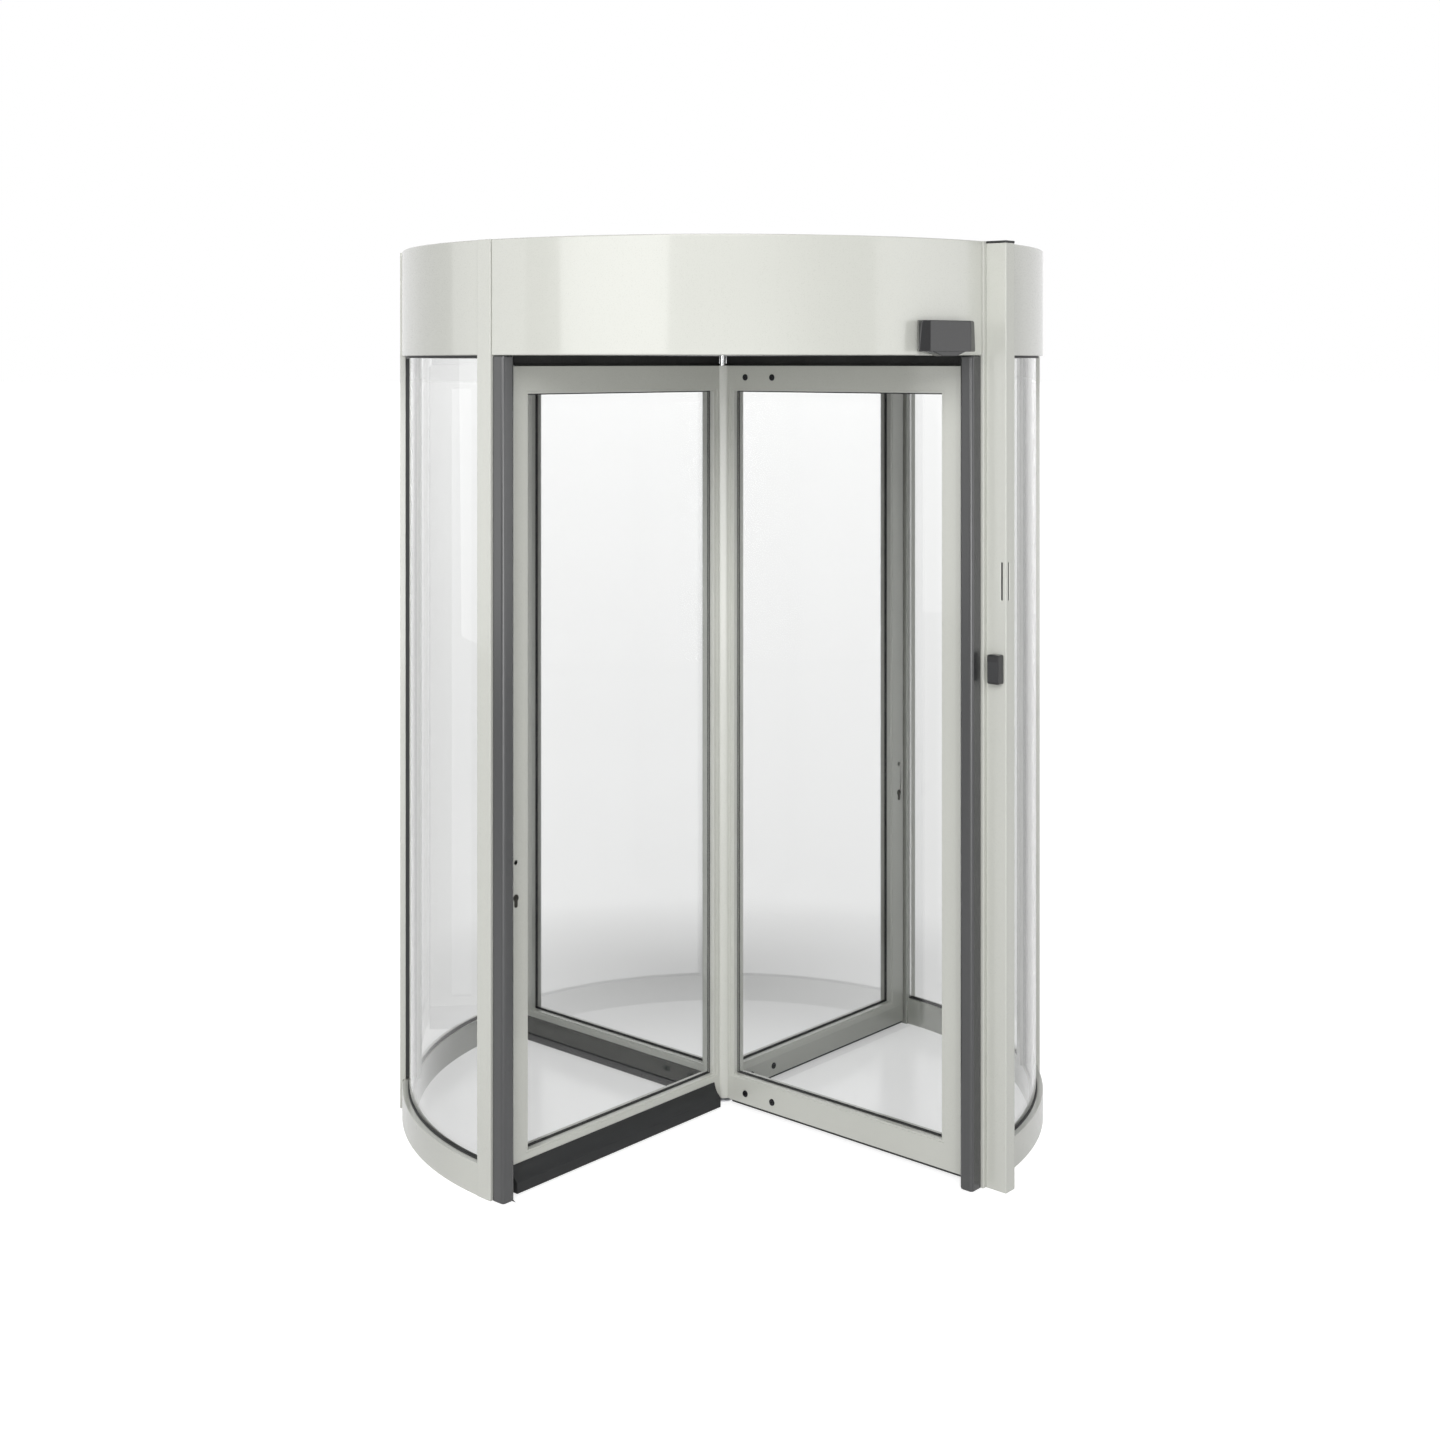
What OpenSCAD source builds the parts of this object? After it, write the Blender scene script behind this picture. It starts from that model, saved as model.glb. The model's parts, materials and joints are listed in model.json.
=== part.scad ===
// Security revolving door: a round drum with two curved glass walls under a canopy, and a
// rotor of four framed glass wings on a slim centre column, driven by a gear pair in the
// canopy. Millimetres. The origin is on the floor on the rotor's axis, +Z is up and the
// front opening faces -Y. Seen from above the rotor turns counterclockwise.

/* [Drum] */
// Outer radius of the canopy and of the base skirts
drum_r = 900; // [880:5:1000]
// Height from the floor to the canopy's lower edge
clear_h = 2110; // [2000:5:2300]
// Height of the canopy
canopy_h = 290; // [285:5:400]
// Height of the base skirts
skirt_h = 80; // [70:1:120]
// Radial width of the base skirts
skirt_w = 38; // [37:1:44]
// Thickness of the skirt's walls
skirt_wall = 4; // [3:0.5:5]
// Sealed joint between a skirt's end and the post's side
skirt_joint = 1.5; // [1:0.25:2.5]
// Thickness of the curved wall glass
wall_glass_t = 10; // [8:1:12]
// Radial distance from the drum's outer radius to the outer face of the glass
wall_glass_inset = 19; // [18:0.5:20]
// Depth of the glass in the skirt
glass_bite = 24; // [15:1:30]
// Height of the dark head channel that shows under the canopy
head_drop = 6; // [4:1:12]
// Thickness of the canopy's sheet metal
sheet_t = 3; // [2:0.5:4]
// Width of the fascia's folded flanges, with the sheet
flange_w = 12; // [8:1:12]
// Thickness of the ceiling panel
ceiling_t = 4; // [3:1:6]
// Depth of the roof cover below the canopy's rim
roof_drop = 9; // [6:1:15]

/* [Posts] */
// Width of a portal post and of a mullion along the drum's curve
post_w = 50; // [40:1:60]
// Depth of a portal post inwards from the drum's outer radius
post_in = 46; // [44:1:50]
// How far a portal post stands proud of the canopy
post_proud = 3; // [1:0.5:6]
// Wall thickness of the post profiles
post_wall = 3; // [2:0.5:4]
// Thickness of the foot plate inside a post
foot_t = 10; // [6:1:15]
// Radius of the floor anchor hole in a foot plate
anchor_r = 6.5; // [4:0.5:9]
// How far a mullion's outer cover stands proud of the canopy
mullion_proud = 8; // [4:1:15]
// Width of a mullion's inner cover
mullion_inner_w = 40; // [30:1:48]
// Width of the rubber safety edge on a post, along the curve
edge_w = 41; // [30:1:60]
// Depth of the rubber safety edge
edge_d = 40; // [32:1:41]
// Corner radius of the safety edge's nose
edge_round = 10; // [6:1:14]
// Radius of the hollow chamber in the safety edge
edge_chamber_r = 11; // [6:1:13]

/* [Reader post] */
// Radial depth of the reader post
reader_post_d = 60; // [50:1:90]
// Width of the reader post
reader_post_w = 40; // [34:1:60]
// Distance of the reader post's front face from the portal post's centre line
reader_post_shift = 13; // [8:1:20]
// Thickness of the reader post's cap
reader_cap_t = 6; // [4:1:10]
// Width of the two light slots
slot_w = 4.5; // [3:0.5:8]
// Height of the two light slots
slot_h = 96; // [60:1:140]
// Height of the slots' middle above the floor
slot_z = 1540; // [1400:5:1700]
// Distance of each slot from the reader post's corner
slot_edge = 13; // [8:1:18]
// Width of the card reader
reader_w = 36; // [28:1:44]
// Height of the card reader
reader_h = 74; // [60:1:120]
// Depth of the card reader without its face
reader_d = 21; // [12:1:30]
// Height of the card reader's middle above the floor
reader_z = 1319; // [1000:5:1400]
// Distance of the card reader from the reader post's outer corner
reader_edge = 7; // [4:1:12]

/* [Sensor] */
// Width of the motion sensor over its widest edge
sensor_w = 190; // [150:1:220]
// Height of the motion sensor's housing
sensor_h = 77; // [60:1:90]
// Depth of the motion sensor from the canopy
sensor_d = 40; // [30:1:55]
// Height of the housing's lower edge above the canopy's lower edge
sensor_lift = 9; // [4:1:40]
// Angle of the sensor from the middle of the front opening
sensor_angle = 33.2; // [0:0.2:34]
// Height of the lens that hangs below the housing
lens_drop = 11; // [8:1:14]

/* [Rotor] */
// Radius of the centre column
column_r = 46.5; // [44:0.5:52]
// Wall thickness of the centre column
column_wall = 6; // [4:0.5:8]
// Radius of the polished shaft that shows above the column
shaft_neck_r = 12.5; // [10:0.5:15]
// Radius of the drive shaft in its bearing
shaft_r = 20; // [18:1:24]
// Thickness of a wing frame
wing_t = 48; // [44:1:54]
// Gap between the wing's seal and the posts
seal_gap = 4; // [3:0.5:8]
// Width of the vertical seal on a wing's outer edge
edge_seal_w = 13; // [8:1:20]
// Width of a wing's outer stile
stile_w = 56.5; // [52:0.5:65]
// Width of the light part of a wing's inner stile, from the column
inner_stile_w = 3.5; // [3:0.5:10]
// Height of a wing's top rail
top_rail_h = 65; // [60:1:80]
// Height of a wing's bottom rail
bottom_rail_h = 68.5; // [66:0.5:90]
// Height of the bottom rails above the floor
floor_gap = 15.5; // [12:0.5:25]
// Distance from a wing's top rail to the canopy's lower edge
head_gap = 27; // [22:1:40]
// Wall thickness of the wing profiles
wing_wall = 3; // [2:0.5:4]
// Thickness of the wing glass
wing_glass_t = 10; // [6:1:12]
// Depth of the wing glass in its frame
wing_bite = 8; // [6:0.5:8]
// Visible width of the glazing beads
bead_w = 8.5; // [6:0.5:14]
// Visible width of the glazing beads beside the column
inner_bead_w = 15; // [14:0.5:20]
// Depth of the bead's face behind the frame's face
bead_set = 1.5; // [0.5:0.5:4]

/* [Wing trim] */
// Height of the bumper over the floor
bumper_top = 68; // [60:1:80]
// Gap under the bumper
bumper_gap = 4; // [2:0.5:8]
// Depth of the bumper in front of the wing
bumper_d = 26; // [15:1:35]
// Height of the bumper's upright lower face
bumper_face_h = 27; // [15:1:35]
// Depth of the bumper's upper edge
bumper_lip = 3; // [2:0.5:6]
// Hollow of the bumper's sloping face
bumper_sag = 5; // [0:0.5:8]
// Distance from the axis to the bumper's inner end
bumper_start = 64; // [55:1:90]
// Height of the bottom seal
floor_seal_h = 7; // [4:0.5:10]
// Number of bristle tufts on a top brush
tufts = 90; // [75:1:120]
// Share of the tuft spacing that a tuft fills
tuft_fill = 0.62; // [0.4:0.02:0.8]
// Thickness of the bristles
tuft_t = 4; // [2:0.5:6]
// Height of the brush holder
holder_h = 6; // [4:0.5:8]
// Gap between the bristles and the ceiling
brush_gap = 0.5; // [0.3:0.1:3]

/* [Hub screws] */
// Distance from the axis to the inner hub screw
screw_s = 105; // [80:1:130]
// Distance between the two hub screws of a rail
screw_pitch = 97.5; // [60:0.5:120]
// Radius of a hub screw's head
screw_head_r = 8; // [5:0.5:10]
// Height of the bottom hub screws above the floor
screw_low_z = 43.5; // [40:0.5:50]
// Length of a hub arm from the axis
arm_l = 240; // [235:1:320]
// Height of a hub arm
arm_h = 32; // [24:1:36]

/* [Locks] */
// Height of the key plug above the floor
plug_z = 739; // [700:1:900]
// Height of the spindle hole above the plug
spindle_rise = 89.5; // [72:0.5:110]
// Radius of the spindle hole
spindle_r = 6; // [4:0.5:8]
// Radius of the key plug
plug_r = 6.5; // [5:0.25:7]
// Radius of the shoot bolt
bolt_r = 5; // [4:0.5:6]
// Travel of the shoot bolt
bolt_throw = 40; // [35:1:50]
// Radius of the bolt's socket in the ceiling
socket_r = 7.5; // [7:0.25:9]

/* [Drive] */
// Tooth module of the drive gears
gear_m = 4; // [3:0.5:5]
// Teeth on the drive gear
gear_teeth = 60; // [40:2:64]
// Teeth on the pinion
pinion_teeth = 18; // [18:2:24]
// Width of the gear rims
gear_w = 20; // [12:1:24]
// Play between the teeth
backlash = 0.5; // [0.4:0.05:0.8]
// Radius of the pinion's shaft
pinion_shaft_r = 12; // [8:1:14]
// Radius of the index disc
index_r = 150; // [140:1:160]
// Radius of the locking bolt
lock_pin_r = 8; // [6:0.5:10]
// Travel of the locking bolt
lock_throw = 13; // [10:1:16]

/* [Fits] */
// Radial clearance of a shaft or pin that turns or slides in its bore
run = 0.05; // [0.02:0.01:0.1]
// Gap between pieces that are seated side by side
fit = 0.3; // [0.2:0.05:0.5]

/* [Hidden] */
$fn = 96;
eps = 1;
total_h = clear_h + canopy_h;

// Angles of the posts and, at rest, of the wings
FRONT_LEFT = -135;
FRONT_RIGHT = -45;
REAR_RIGHT = 45;
REAR_LEFT = 135;
CORNERS = [FRONT_LEFT, FRONT_RIGHT, REAR_RIGHT, REAR_LEFT];
LOCK_WINGS = [FRONT_LEFT, REAR_RIGHT];

// Curved walls
skirt_in_r = drum_r - skirt_w;
glass_out_r = drum_r - wall_glass_inset;
glass_in_r = glass_out_r - wall_glass_t;
gasket_t = 3;
groove_in_r = glass_in_r - gasket_t;
groove_out_r = glass_out_r + gasket_t;
glass_z0 = skirt_h - glass_bite;
skirt_web_t = 4;
gasket_rise = 4;
gasket_z0 = skirt_h + gasket_rise + fit;
head_z = clear_h - head_drop;
gasket_z1 = head_z - fit;
head_bite = 4;
pane_joint = 3;

// Canopy levels
low_flange_t = 2;
ceiling_z = clear_h + low_flange_t;
ceiling_top = ceiling_z + ceiling_t;
roof_z = total_h - roof_drop - sheet_t;
fascia_in_r = drum_r - sheet_t;

// Posts and mullions
post_in_r = drum_r - post_in;
post_out_r = drum_r + post_proud;
foot_r = (post_in_r + post_out_r) / 2;
edge_in_r = post_in_r + post_wall;
mullion_gasket_out = 11;
mullion_gasket_in = 5;
post_gasket_w = 8;

// Reader post, in the front right post's own frame
reader_u0 = post_out_r;
reader_u1 = post_out_r + reader_post_d;
reader_t0 = -reader_post_shift;
reader_t1 = reader_t0 + reader_post_w;
reader_face_t = 1.5;

// Wings, in their own frame: X along the wing, +Y the leading side
wing_reach = post_in_r - seal_gap;
wing_r = wing_reach - edge_seal_w;
half_t = wing_t / 2;
column_clear_r = column_r + fit;
rail_z0 = floor_gap;
rail_z1 = floor_gap + bottom_rail_h;
top_z1 = clear_h - head_gap;
top_z0 = top_z1 - top_rail_h;
stile_s0 = wing_r - stile_w;
inner_s1 = column_clear_r + inner_stile_w;
tongue_l = 12;
tongue_t = 28;
groove_t = wing_glass_t + 2 * gasket_t;
groove_d = wing_bite + fit;
cavity_web = 3.7;
stile_cavity_s0 = stile_s0 + groove_d + 2 * cavity_web;
stile_cavity_s1 = wing_r - wing_wall;
glass_s0 = inner_s1 + tongue_l - wing_bite;
glass_s1 = stile_s0 + wing_bite;

// Hub arms and screws
arm_half_t = half_t - wing_wall - fit;
screw_high_z = (top_z0 + top_z1) / 2;
screw_top_z = [screw_low_z, screw_high_z];
screw_stations = [screw_s, screw_s + screw_pitch];
screw_shank_r = 4;
screw_shank_l = 13;
screw_head_t = 2.8;

// Locks
lock_s = (stile_cavity_s0 + stile_cavity_s1) / 2;
euro_r = 8.5;
euro_leg_w = 10;
euro_leg_l = 19.5;
case_l = stile_cavity_s1 - stile_cavity_s0 - 3;
case_t = 20;
case_z0 = plug_z - 89;
case_z1 = plug_z + 141;
guide_r = 9;
guide_flange_r = 12;
guide_flange_t = 3;
guide_top = top_z1 + 11;
guide_l = 34;
bolt_tip = guide_top - 2;
socket_wall = 4.5;
socket_flange_w = 6;

// Brush ends
brush_s0 = shaft_neck_r + 3.5;
holder_t = 10;
brush_end_full = wing_r - 4;
brush_end_lock = lock_s - guide_flange_r - 1;

// Canopy frame and drive levels
ring_out_r = post_in_r - fit;
ring_wall = 8;
ring_flange_w = 54;
ring_h = 80;
ring_top = ceiling_top + ring_h;
ring_flange_t = 6;
beam_w = 40;
beam_h = 60;
beam_y = 90;
beam_top = ring_top + beam_h;
upright_w = 30;
plate_t = 12;
plate_top = beam_top + plate_t;
thrust_z = plate_top + 15.7;
shoulder_z = thrust_z + fit;
shoulder_t = 6;
shoulder_r = 30;
gear_z0 = shoulder_z + shoulder_t;
gear_z1 = gear_z0 + gear_w;
hub_r = 40;
hub_rise = 8;
index_z0 = gear_z1 + hub_rise;
index_t = 12;
index_z1 = index_z0 + index_t;
nut_t = 8;
nut_r = 30;
gear_pitch_r = gear_m * gear_teeth / 2;
pinion_pitch_r = gear_m * pinion_teeth / 2;
gear_centres = gear_pitch_r + pinion_pitch_r;
gearbox_w = 110;
gearbox_h = 90;
motor_r = 45;
motor_l = 190;
motor_z = beam_top - gearbox_h / 2;
lock_pin_z = (index_z0 + index_z1) / 2;
lock_pin_gap = 3;
lock_tip_l = 6;
lock_tip_taper = 3;
notch_depth = lock_throw - lock_pin_gap + 4;
notch_half = lock_pin_r;
notch_mouth_half = lock_pin_r + 5;
solenoid_l = 70;
solenoid_w = 50;
solenoid_gap = 15;
solenoid_x = -(index_r + solenoid_gap);
lock_pin_l = solenoid_l + solenoid_gap - lock_pin_gap - 10;
control_l = 280;
control_w = 220;
control_h = 84;
control_x = -570;

powder = "#cfcfc8";
shade_powder = "#b9b9b0";
rubber_black = "#2b2b2b";
anthracite = "#3a3b3c";
steel = "#b8bcc0";
bright_steel = "#d8dadc";
glass_tint = "#dfe9e860";

// A box between two corners
module box(low, high) {
    translate(low) cube(high - low);
}

// Part of a ring with a square section, from one angle to another
module ring_part(r0, r1, z0, z1, a0, a1) {
    rotate([0, 0, a0]) rotate_extrude(angle = a1 - a0) translate([r0, z0]) square([r1 - r0, z1 - z0]);
}

// A full ring with a square section
module ring(r0, r1, z0, z1) {
    rotate_extrude() translate([r0, z0]) square([r1 - r0, z1 - z0]);
}

// A quarter of the drum between two posts, from any section drawn in radius and height
module quarter(middle) {
    rotate([0, 0, middle - 45]) rotate_extrude(angle = 90) children();
}

// The space that the four posts take up, with a side clearance
module post_voids(side = fit) {
    for (a = CORNERS) rotate([0, 0, a])
        box([post_in_r - fit, -post_w / 2 - side, -eps], [post_out_r + eps, post_w / 2 + side, total_h + eps]);
}

// Places children in a post's frame: +Y points away from the opening
module at_post(angle, opening_left) {
    rotate([0, 0, angle]) mirror([0, opening_left ? 0 : 1, 0]) children();
}

// Places children in the reader post's frame
module at_reader() {
    at_post(FRONT_RIGHT, true) children();
}

// Points along an involute tooth, from root to tip, as radius and half angle
function inv(a) = tan(a) * 180 / PI - a;
function tooth_half(r, pitch_r, base_r, play) =
    (PI * gear_m / 2 - play / 2) / (2 * pitch_r) * 180 / PI + inv(20) - inv(acos(min(1, base_r / r)));
function polar(r, a) = [r * cos(a), r * sin(a)];

// Outline of a spur gear
module gear_outline(teeth) {
    pitch_r = gear_m * teeth / 2;
    base_r = pitch_r * cos(20);
    root_r = pitch_r - 1.25 * gear_m;
    tip_r = pitch_r + gear_m;
    start_r = max(root_r, base_r);
    steps = 4;
    radii = [for (i = [0 : steps]) start_r + (tip_r - start_r) * i / steps];
    flank = [for (r = radii) [r, tooth_half(r, pitch_r, base_r, backlash)]];
    points = [for (k = [0 : teeth - 1])
        let (a = 360 * k / teeth)
        each concat(
            [polar(root_r, a - flank[0][1])],
            [for (i = [0 : steps]) polar(flank[i][0], a - flank[i][1])],
            [for (i = [steps : -1 : 0]) polar(flank[i][0], a + flank[i][1])],
            [polar(root_r, a + flank[0][1])])];
    polygon(points);
}

// Floor plate with the pivot pin that guides the column
module floor_bearing() {
    color(bright_steel) {
        cylinder(r = 30, h = 4);
        cylinder(r = 16, h = floor_gap - fit);
        cylinder(r = 10, h = floor_gap + 30);
    }
}

// Curved base skirt, a folded channel with a groove that carries the glass
module skirt(middle) {
    color(powder) difference() {
        quarter(middle) difference() {
            translate([skirt_in_r, 0]) square([skirt_w, skirt_h]);
            translate([groove_in_r, glass_z0]) square([groove_out_r - groove_in_r, glass_bite + eps]);
            translate([skirt_in_r + skirt_wall, -eps])
                square([skirt_w - 2 * skirt_wall, glass_z0 - skirt_web_t + eps]);
        }
        post_voids(skirt_joint);
    }
}

// One pane of a curved wall, from a post to the mullion
module wall_glass(middle, half) {
    color(glass_tint) difference() {
        ring_part(glass_in_r, glass_out_r, glass_z0, head_z + head_bite, middle - 45, middle + 45);
        post_voids();
        rotate([0, 0, middle]) mirror([0, half > 0 ? 1 : 0, 0])
            box([0, -pane_joint / 2, 0], [drum_r, drum_r, total_h]);
    }
}

// Head channels, and the gaskets at the skirts, posts and mullions
module wall_gaskets() {
    color(rubber_black) {
        for (middle = [0, 180]) {
            difference() {
                quarter(middle) difference() {
                    translate([skirt_in_r, head_z])
                        square([fascia_in_r - flange_w + sheet_t - fit - skirt_in_r, ceiling_z - fit - head_z]);
                    translate([groove_in_r, head_z - eps])
                        square([groove_out_r - groove_in_r, head_bite + fit + eps]);
                }
                post_voids();
            }
            difference() {
                quarter(middle) {
                    translate([groove_in_r, skirt_h - 6]) square([gasket_t - fit, gasket_rise + 6]);
                    translate([glass_out_r + fit, skirt_h - 6]) square([gasket_t - fit, gasket_rise + 6]);
                }
                post_voids();
            }
            rotate([0, 0, middle]) {
                box([glass_out_r + fit, -post_w / 2 + 3, gasket_z0],
                    [glass_out_r + mullion_gasket_out, post_w / 2 - 3, gasket_z1]);
                box([glass_in_r - mullion_gasket_in, -mullion_inner_w / 2 + 3, gasket_z0],
                    [glass_in_r - 2 * fit, mullion_inner_w / 2 - 3, gasket_z1]);
            }
        }
        for (p = [[FRONT_LEFT, false], [FRONT_RIGHT, true], [REAR_RIGHT, false], [REAR_LEFT, true]])
            at_post(p[0], p[1]) {
                box([glass_out_r + fit, post_w / 2, gasket_z0],
                    [glass_out_r + post_gasket_w, post_w / 2 + post_gasket_w, gasket_z1]);
                box([skirt_in_r + fit, post_w / 2, gasket_z0],
                    [glass_in_r - 4 * fit, post_w / 2 + post_gasket_w, gasket_z1]);
            }
    }
}

// Hollow portal post, open at the top, with its foot plate and floor anchor hole
module post(angle) {
    color(powder) rotate([0, 0, angle]) difference() {
        box([post_in_r, -post_w / 2, 0], [post_out_r, post_w / 2, total_h]);
        box([post_in_r + post_wall, -post_w / 2 + post_wall, foot_t],
            [post_out_r - post_wall, post_w / 2 - post_wall, total_h + eps]);
        translate([foot_r, 0, -eps]) cylinder(r = anchor_r, h = foot_t + 2 * eps);
    }
}

// Section of the rubber safety edge, with its rounded nose and hollow chamber
module edge_section() {
    difference() {
        union() {
            square([edge_d, edge_w - edge_round]);
            translate([edge_round, 0]) square([edge_d - 2 * edge_round, edge_w]);
            for (u = [edge_round, edge_d - edge_round])
                translate([u, edge_w - edge_round]) circle(r = edge_round);
        }
        translate([edge_d / 2, edge_w / 2]) circle(r = edge_chamber_r);
    }
}

// Rubber safety edges on the posts' sides towards the openings
module safety_edges() {
    color(anthracite)
        for (p = [[FRONT_LEFT, false], [FRONT_RIGHT, true], [REAR_RIGHT, false], [REAR_LEFT, true]])
            at_post(p[0], p[1]) translate([edge_in_r, -post_w / 2, 0]) mirror([0, 1, 0])
                linear_extrude(height = clear_h) edge_section();
}

// Mullion at the middle of a curved wall: an outer and an inner cover profile
module mullion(middle) {
    color(powder) rotate([0, 0, middle]) {
        difference() {
            box([glass_out_r + mullion_gasket_out, -post_w / 2, 0],
                [drum_r + mullion_proud, post_w / 2, total_h]);
            translate([0, 0, -eps]) cylinder(r = drum_r + fit, h = skirt_h + fit + eps);
            translate([0, 0, clear_h - fit]) cylinder(r = drum_r + fit, h = canopy_h + eps + fit);
        }
        box([post_in_r, -mullion_inner_w / 2, skirt_h],
            [glass_in_r - mullion_gasket_in, mullion_inner_w / 2, head_z]);
    }
}

// Fascia panel of the canopy between two posts, folded in at the top and the bottom
module fascia(middle) {
    flange_r = fascia_in_r - flange_w + sheet_t;
    color(powder) difference() {
        quarter(middle) polygon([
            [flange_r, clear_h], [drum_r, clear_h], [drum_r, total_h], [flange_r, total_h],
            [flange_r, total_h - sheet_t], [fascia_in_r, total_h - sheet_t],
            [fascia_in_r, ceiling_z], [flange_r, ceiling_z]]);
        post_voids();
    }
}

// Steel frame inside the canopy: lower ring, cross beams, uprights and roof ring
module canopy_frame() {
    color("#8d9299") {
        ring(ring_out_r - ring_wall, ring_out_r, ceiling_top, ring_top);
        ring(ring_out_r - ring_flange_w, ring_out_r, ring_top - ring_flange_t, ring_top);
        ring(ring_out_r - ring_flange_w, ring_out_r, roof_z - ring_wall, roof_z);
        for (side = [-1, 1]) translate([0, side * beam_y, 0]) difference() {
            box([-ring_out_r + 19, -beam_w / 2, ring_top], [ring_out_r - 19, beam_w / 2, beam_top]);
            box([-ring_out_r, -beam_w / 2 + 4, ring_top + 4], [ring_out_r, beam_w / 2 - 4, beam_top - 4]);
        }
        for (a = [22.5 : 45 : 360]) rotate([0, 0, a])
            box([ring_out_r - upright_w - 4, -upright_w / 2, ring_top],
                [ring_out_r - 4, upright_w / 2, roof_z - ring_wall]);
    }
}

// Ceiling over the compartments, with the shaft's opening and the bolt sockets' holes
module ceiling_panel() {
    color(shade_powder) difference() {
        translate([0, 0, ceiling_z]) cylinder(r = fascia_in_r - fit, h = ceiling_t);
        translate([0, 0, ceiling_z - eps]) cylinder(r = shaft_neck_r + 8, h = ceiling_t + 2 * eps);
        for (a = CORNERS) rotate([0, 0, a]) translate([lock_s, 0, ceiling_z - eps])
            cylinder(r = socket_r + socket_wall + fit, h = ceiling_t + 2 * eps);
        post_voids();
    }
}

// Roof sheet on the frame's upper ring
module roof_cover() {
    color(powder) difference() {
        translate([0, 0, roof_z]) cylinder(r = fascia_in_r - fit, h = sheet_t);
        post_voids();
    }
}

// Plate on the cross beams with the barrel that holds the drive shaft
module bearing_housing() {
    color(steel) difference() {
        union() {
            box([solenoid_x - solenoid_l - 15, -beam_y - beam_w / 2 + 2, beam_top],
                [gear_centres + gearbox_w / 2 + 20, beam_y + beam_w / 2 - 2, plate_top]);
            translate([0, 0, ring_top]) cylinder(r = shaft_r + 25, h = thrust_z - ring_top);
        }
        translate([0, 0, ring_top - eps]) cylinder(r = shaft_r + run, h = thrust_z - ring_top + 2 * eps);
        translate([gear_centres, 0, beam_top - eps]) cylinder(r = pinion_shaft_r + 4, h = plate_t + 2 * eps);
    }
}

// Gearbox under the plate, with its motor, cooling fins and terminal box
module gearmotor() {
    motor_x = gear_centres + gearbox_w / 2;
    color("#5f666d") difference() {
        union() {
            box([gear_centres - gearbox_w / 2, -gearbox_w / 2, beam_top - gearbox_h],
                [motor_x, gearbox_w / 2, beam_top]);
            translate([motor_x, 0, motor_z]) rotate([0, 90, 0]) cylinder(r = motor_r - 6, h = motor_l);
            for (i = [0 : 8]) translate([motor_x + 14 + 15 * i, 0, motor_z]) rotate([0, 90, 0])
                cylinder(r = motor_r, h = 5);
            translate([motor_x + motor_l - 30, 0, motor_z]) rotate([0, 90, 0]) cylinder(r = motor_r, h = 30);
            box([motor_x + 40, -25, motor_z - motor_r - 18], [motor_x + 110, 25, motor_z - motor_r + 10]);
        }
        translate([gear_centres, 0, beam_top - 40]) cylinder(r = pinion_shaft_r + run, h = 40 + eps);
    }
}

// Door controller on the cross beams, with its lid and cable glands
module control_box() {
    color("#7b8087") {
        box([control_x, -control_w / 2, beam_top], [control_x + control_l, control_w / 2, beam_top + control_h - 6]);
        box([control_x - 3, -control_w / 2 - 3, beam_top + control_h - 6],
            [control_x + control_l + 3, control_w / 2 + 3, beam_top + control_h]);
        for (y = [-60 : 40 : 60]) translate([control_x + control_l, y, beam_top + 35]) rotate([0, 90, 0])
            cylinder(r = 9, h = 14);
    }
}

// Sockets above the ceiling that take the shoot bolts, one at each post
module strike_sockets() {
    color(steel) for (a = CORNERS) rotate([0, 0, a]) translate([lock_s, 0, 0]) difference() {
        union() {
            translate([0, 0, ceiling_z]) cylinder(r = socket_r + socket_wall, h = bolt_throw);
            translate([0, 0, ceiling_top]) cylinder(r = socket_r + socket_wall + socket_flange_w, h = 3);
        }
        translate([0, 0, ceiling_z - eps]) cylinder(r = socket_r, h = bolt_throw + 2 * eps);
    }
}

// Solenoid that drives the locking bolt into the index disc
module locking_solenoid() {
    color("#50565c") difference() {
        union() {
            box([solenoid_x - solenoid_l, -solenoid_w / 2, plate_top],
                [solenoid_x, solenoid_w / 2, lock_pin_z + 16]);
            translate([solenoid_x - solenoid_l + 8, 0, lock_pin_z]) rotate([0, 90, 0])
                cylinder(r = 22, h = solenoid_l - 16);
        }
        translate([solenoid_x - solenoid_l + 4, 0, lock_pin_z]) rotate([0, 90, 0])
            cylinder(r = lock_pin_r + run, h = solenoid_l + eps);
    }
}

// Hollow rectangular post that carries the card reader, with two light slots
module reader_post() {
    color(powder) at_reader() difference() {
        box([reader_u0, reader_t0, 0], [reader_u1, reader_t1, total_h - reader_cap_t]);
        box([reader_u0 + post_wall, reader_t0 + post_wall, -eps],
            [reader_u1 - post_wall, reader_t1 - post_wall, total_h]);
        box([reader_u1 - slot_edge - slot_w / 2, reader_t0 - eps, slot_z - slot_h / 2],
            [reader_u1 - slot_edge + slot_w / 2, reader_t0 + post_wall + eps, slot_z + slot_h / 2]);
        box([reader_u1 - post_wall - eps, reader_t0 + slot_edge - slot_w / 2, slot_z - slot_h / 2],
            [reader_u1 + eps, reader_t0 + slot_edge + slot_w / 2, slot_z + slot_h / 2]);
    }
}

// Dark cap on the reader post, with a plug that sits in the profile
module reader_post_cap() {
    color(anthracite) at_reader() {
        box([reader_u0, reader_t0, total_h - reader_cap_t], [reader_u1, reader_t1, total_h]);
        box([reader_u0 + post_wall + fit, reader_t0 + post_wall + fit, total_h - reader_cap_t - 15],
            [reader_u1 - post_wall - fit, reader_t1 - post_wall - fit, total_h - reader_cap_t]);
    }
}

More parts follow.
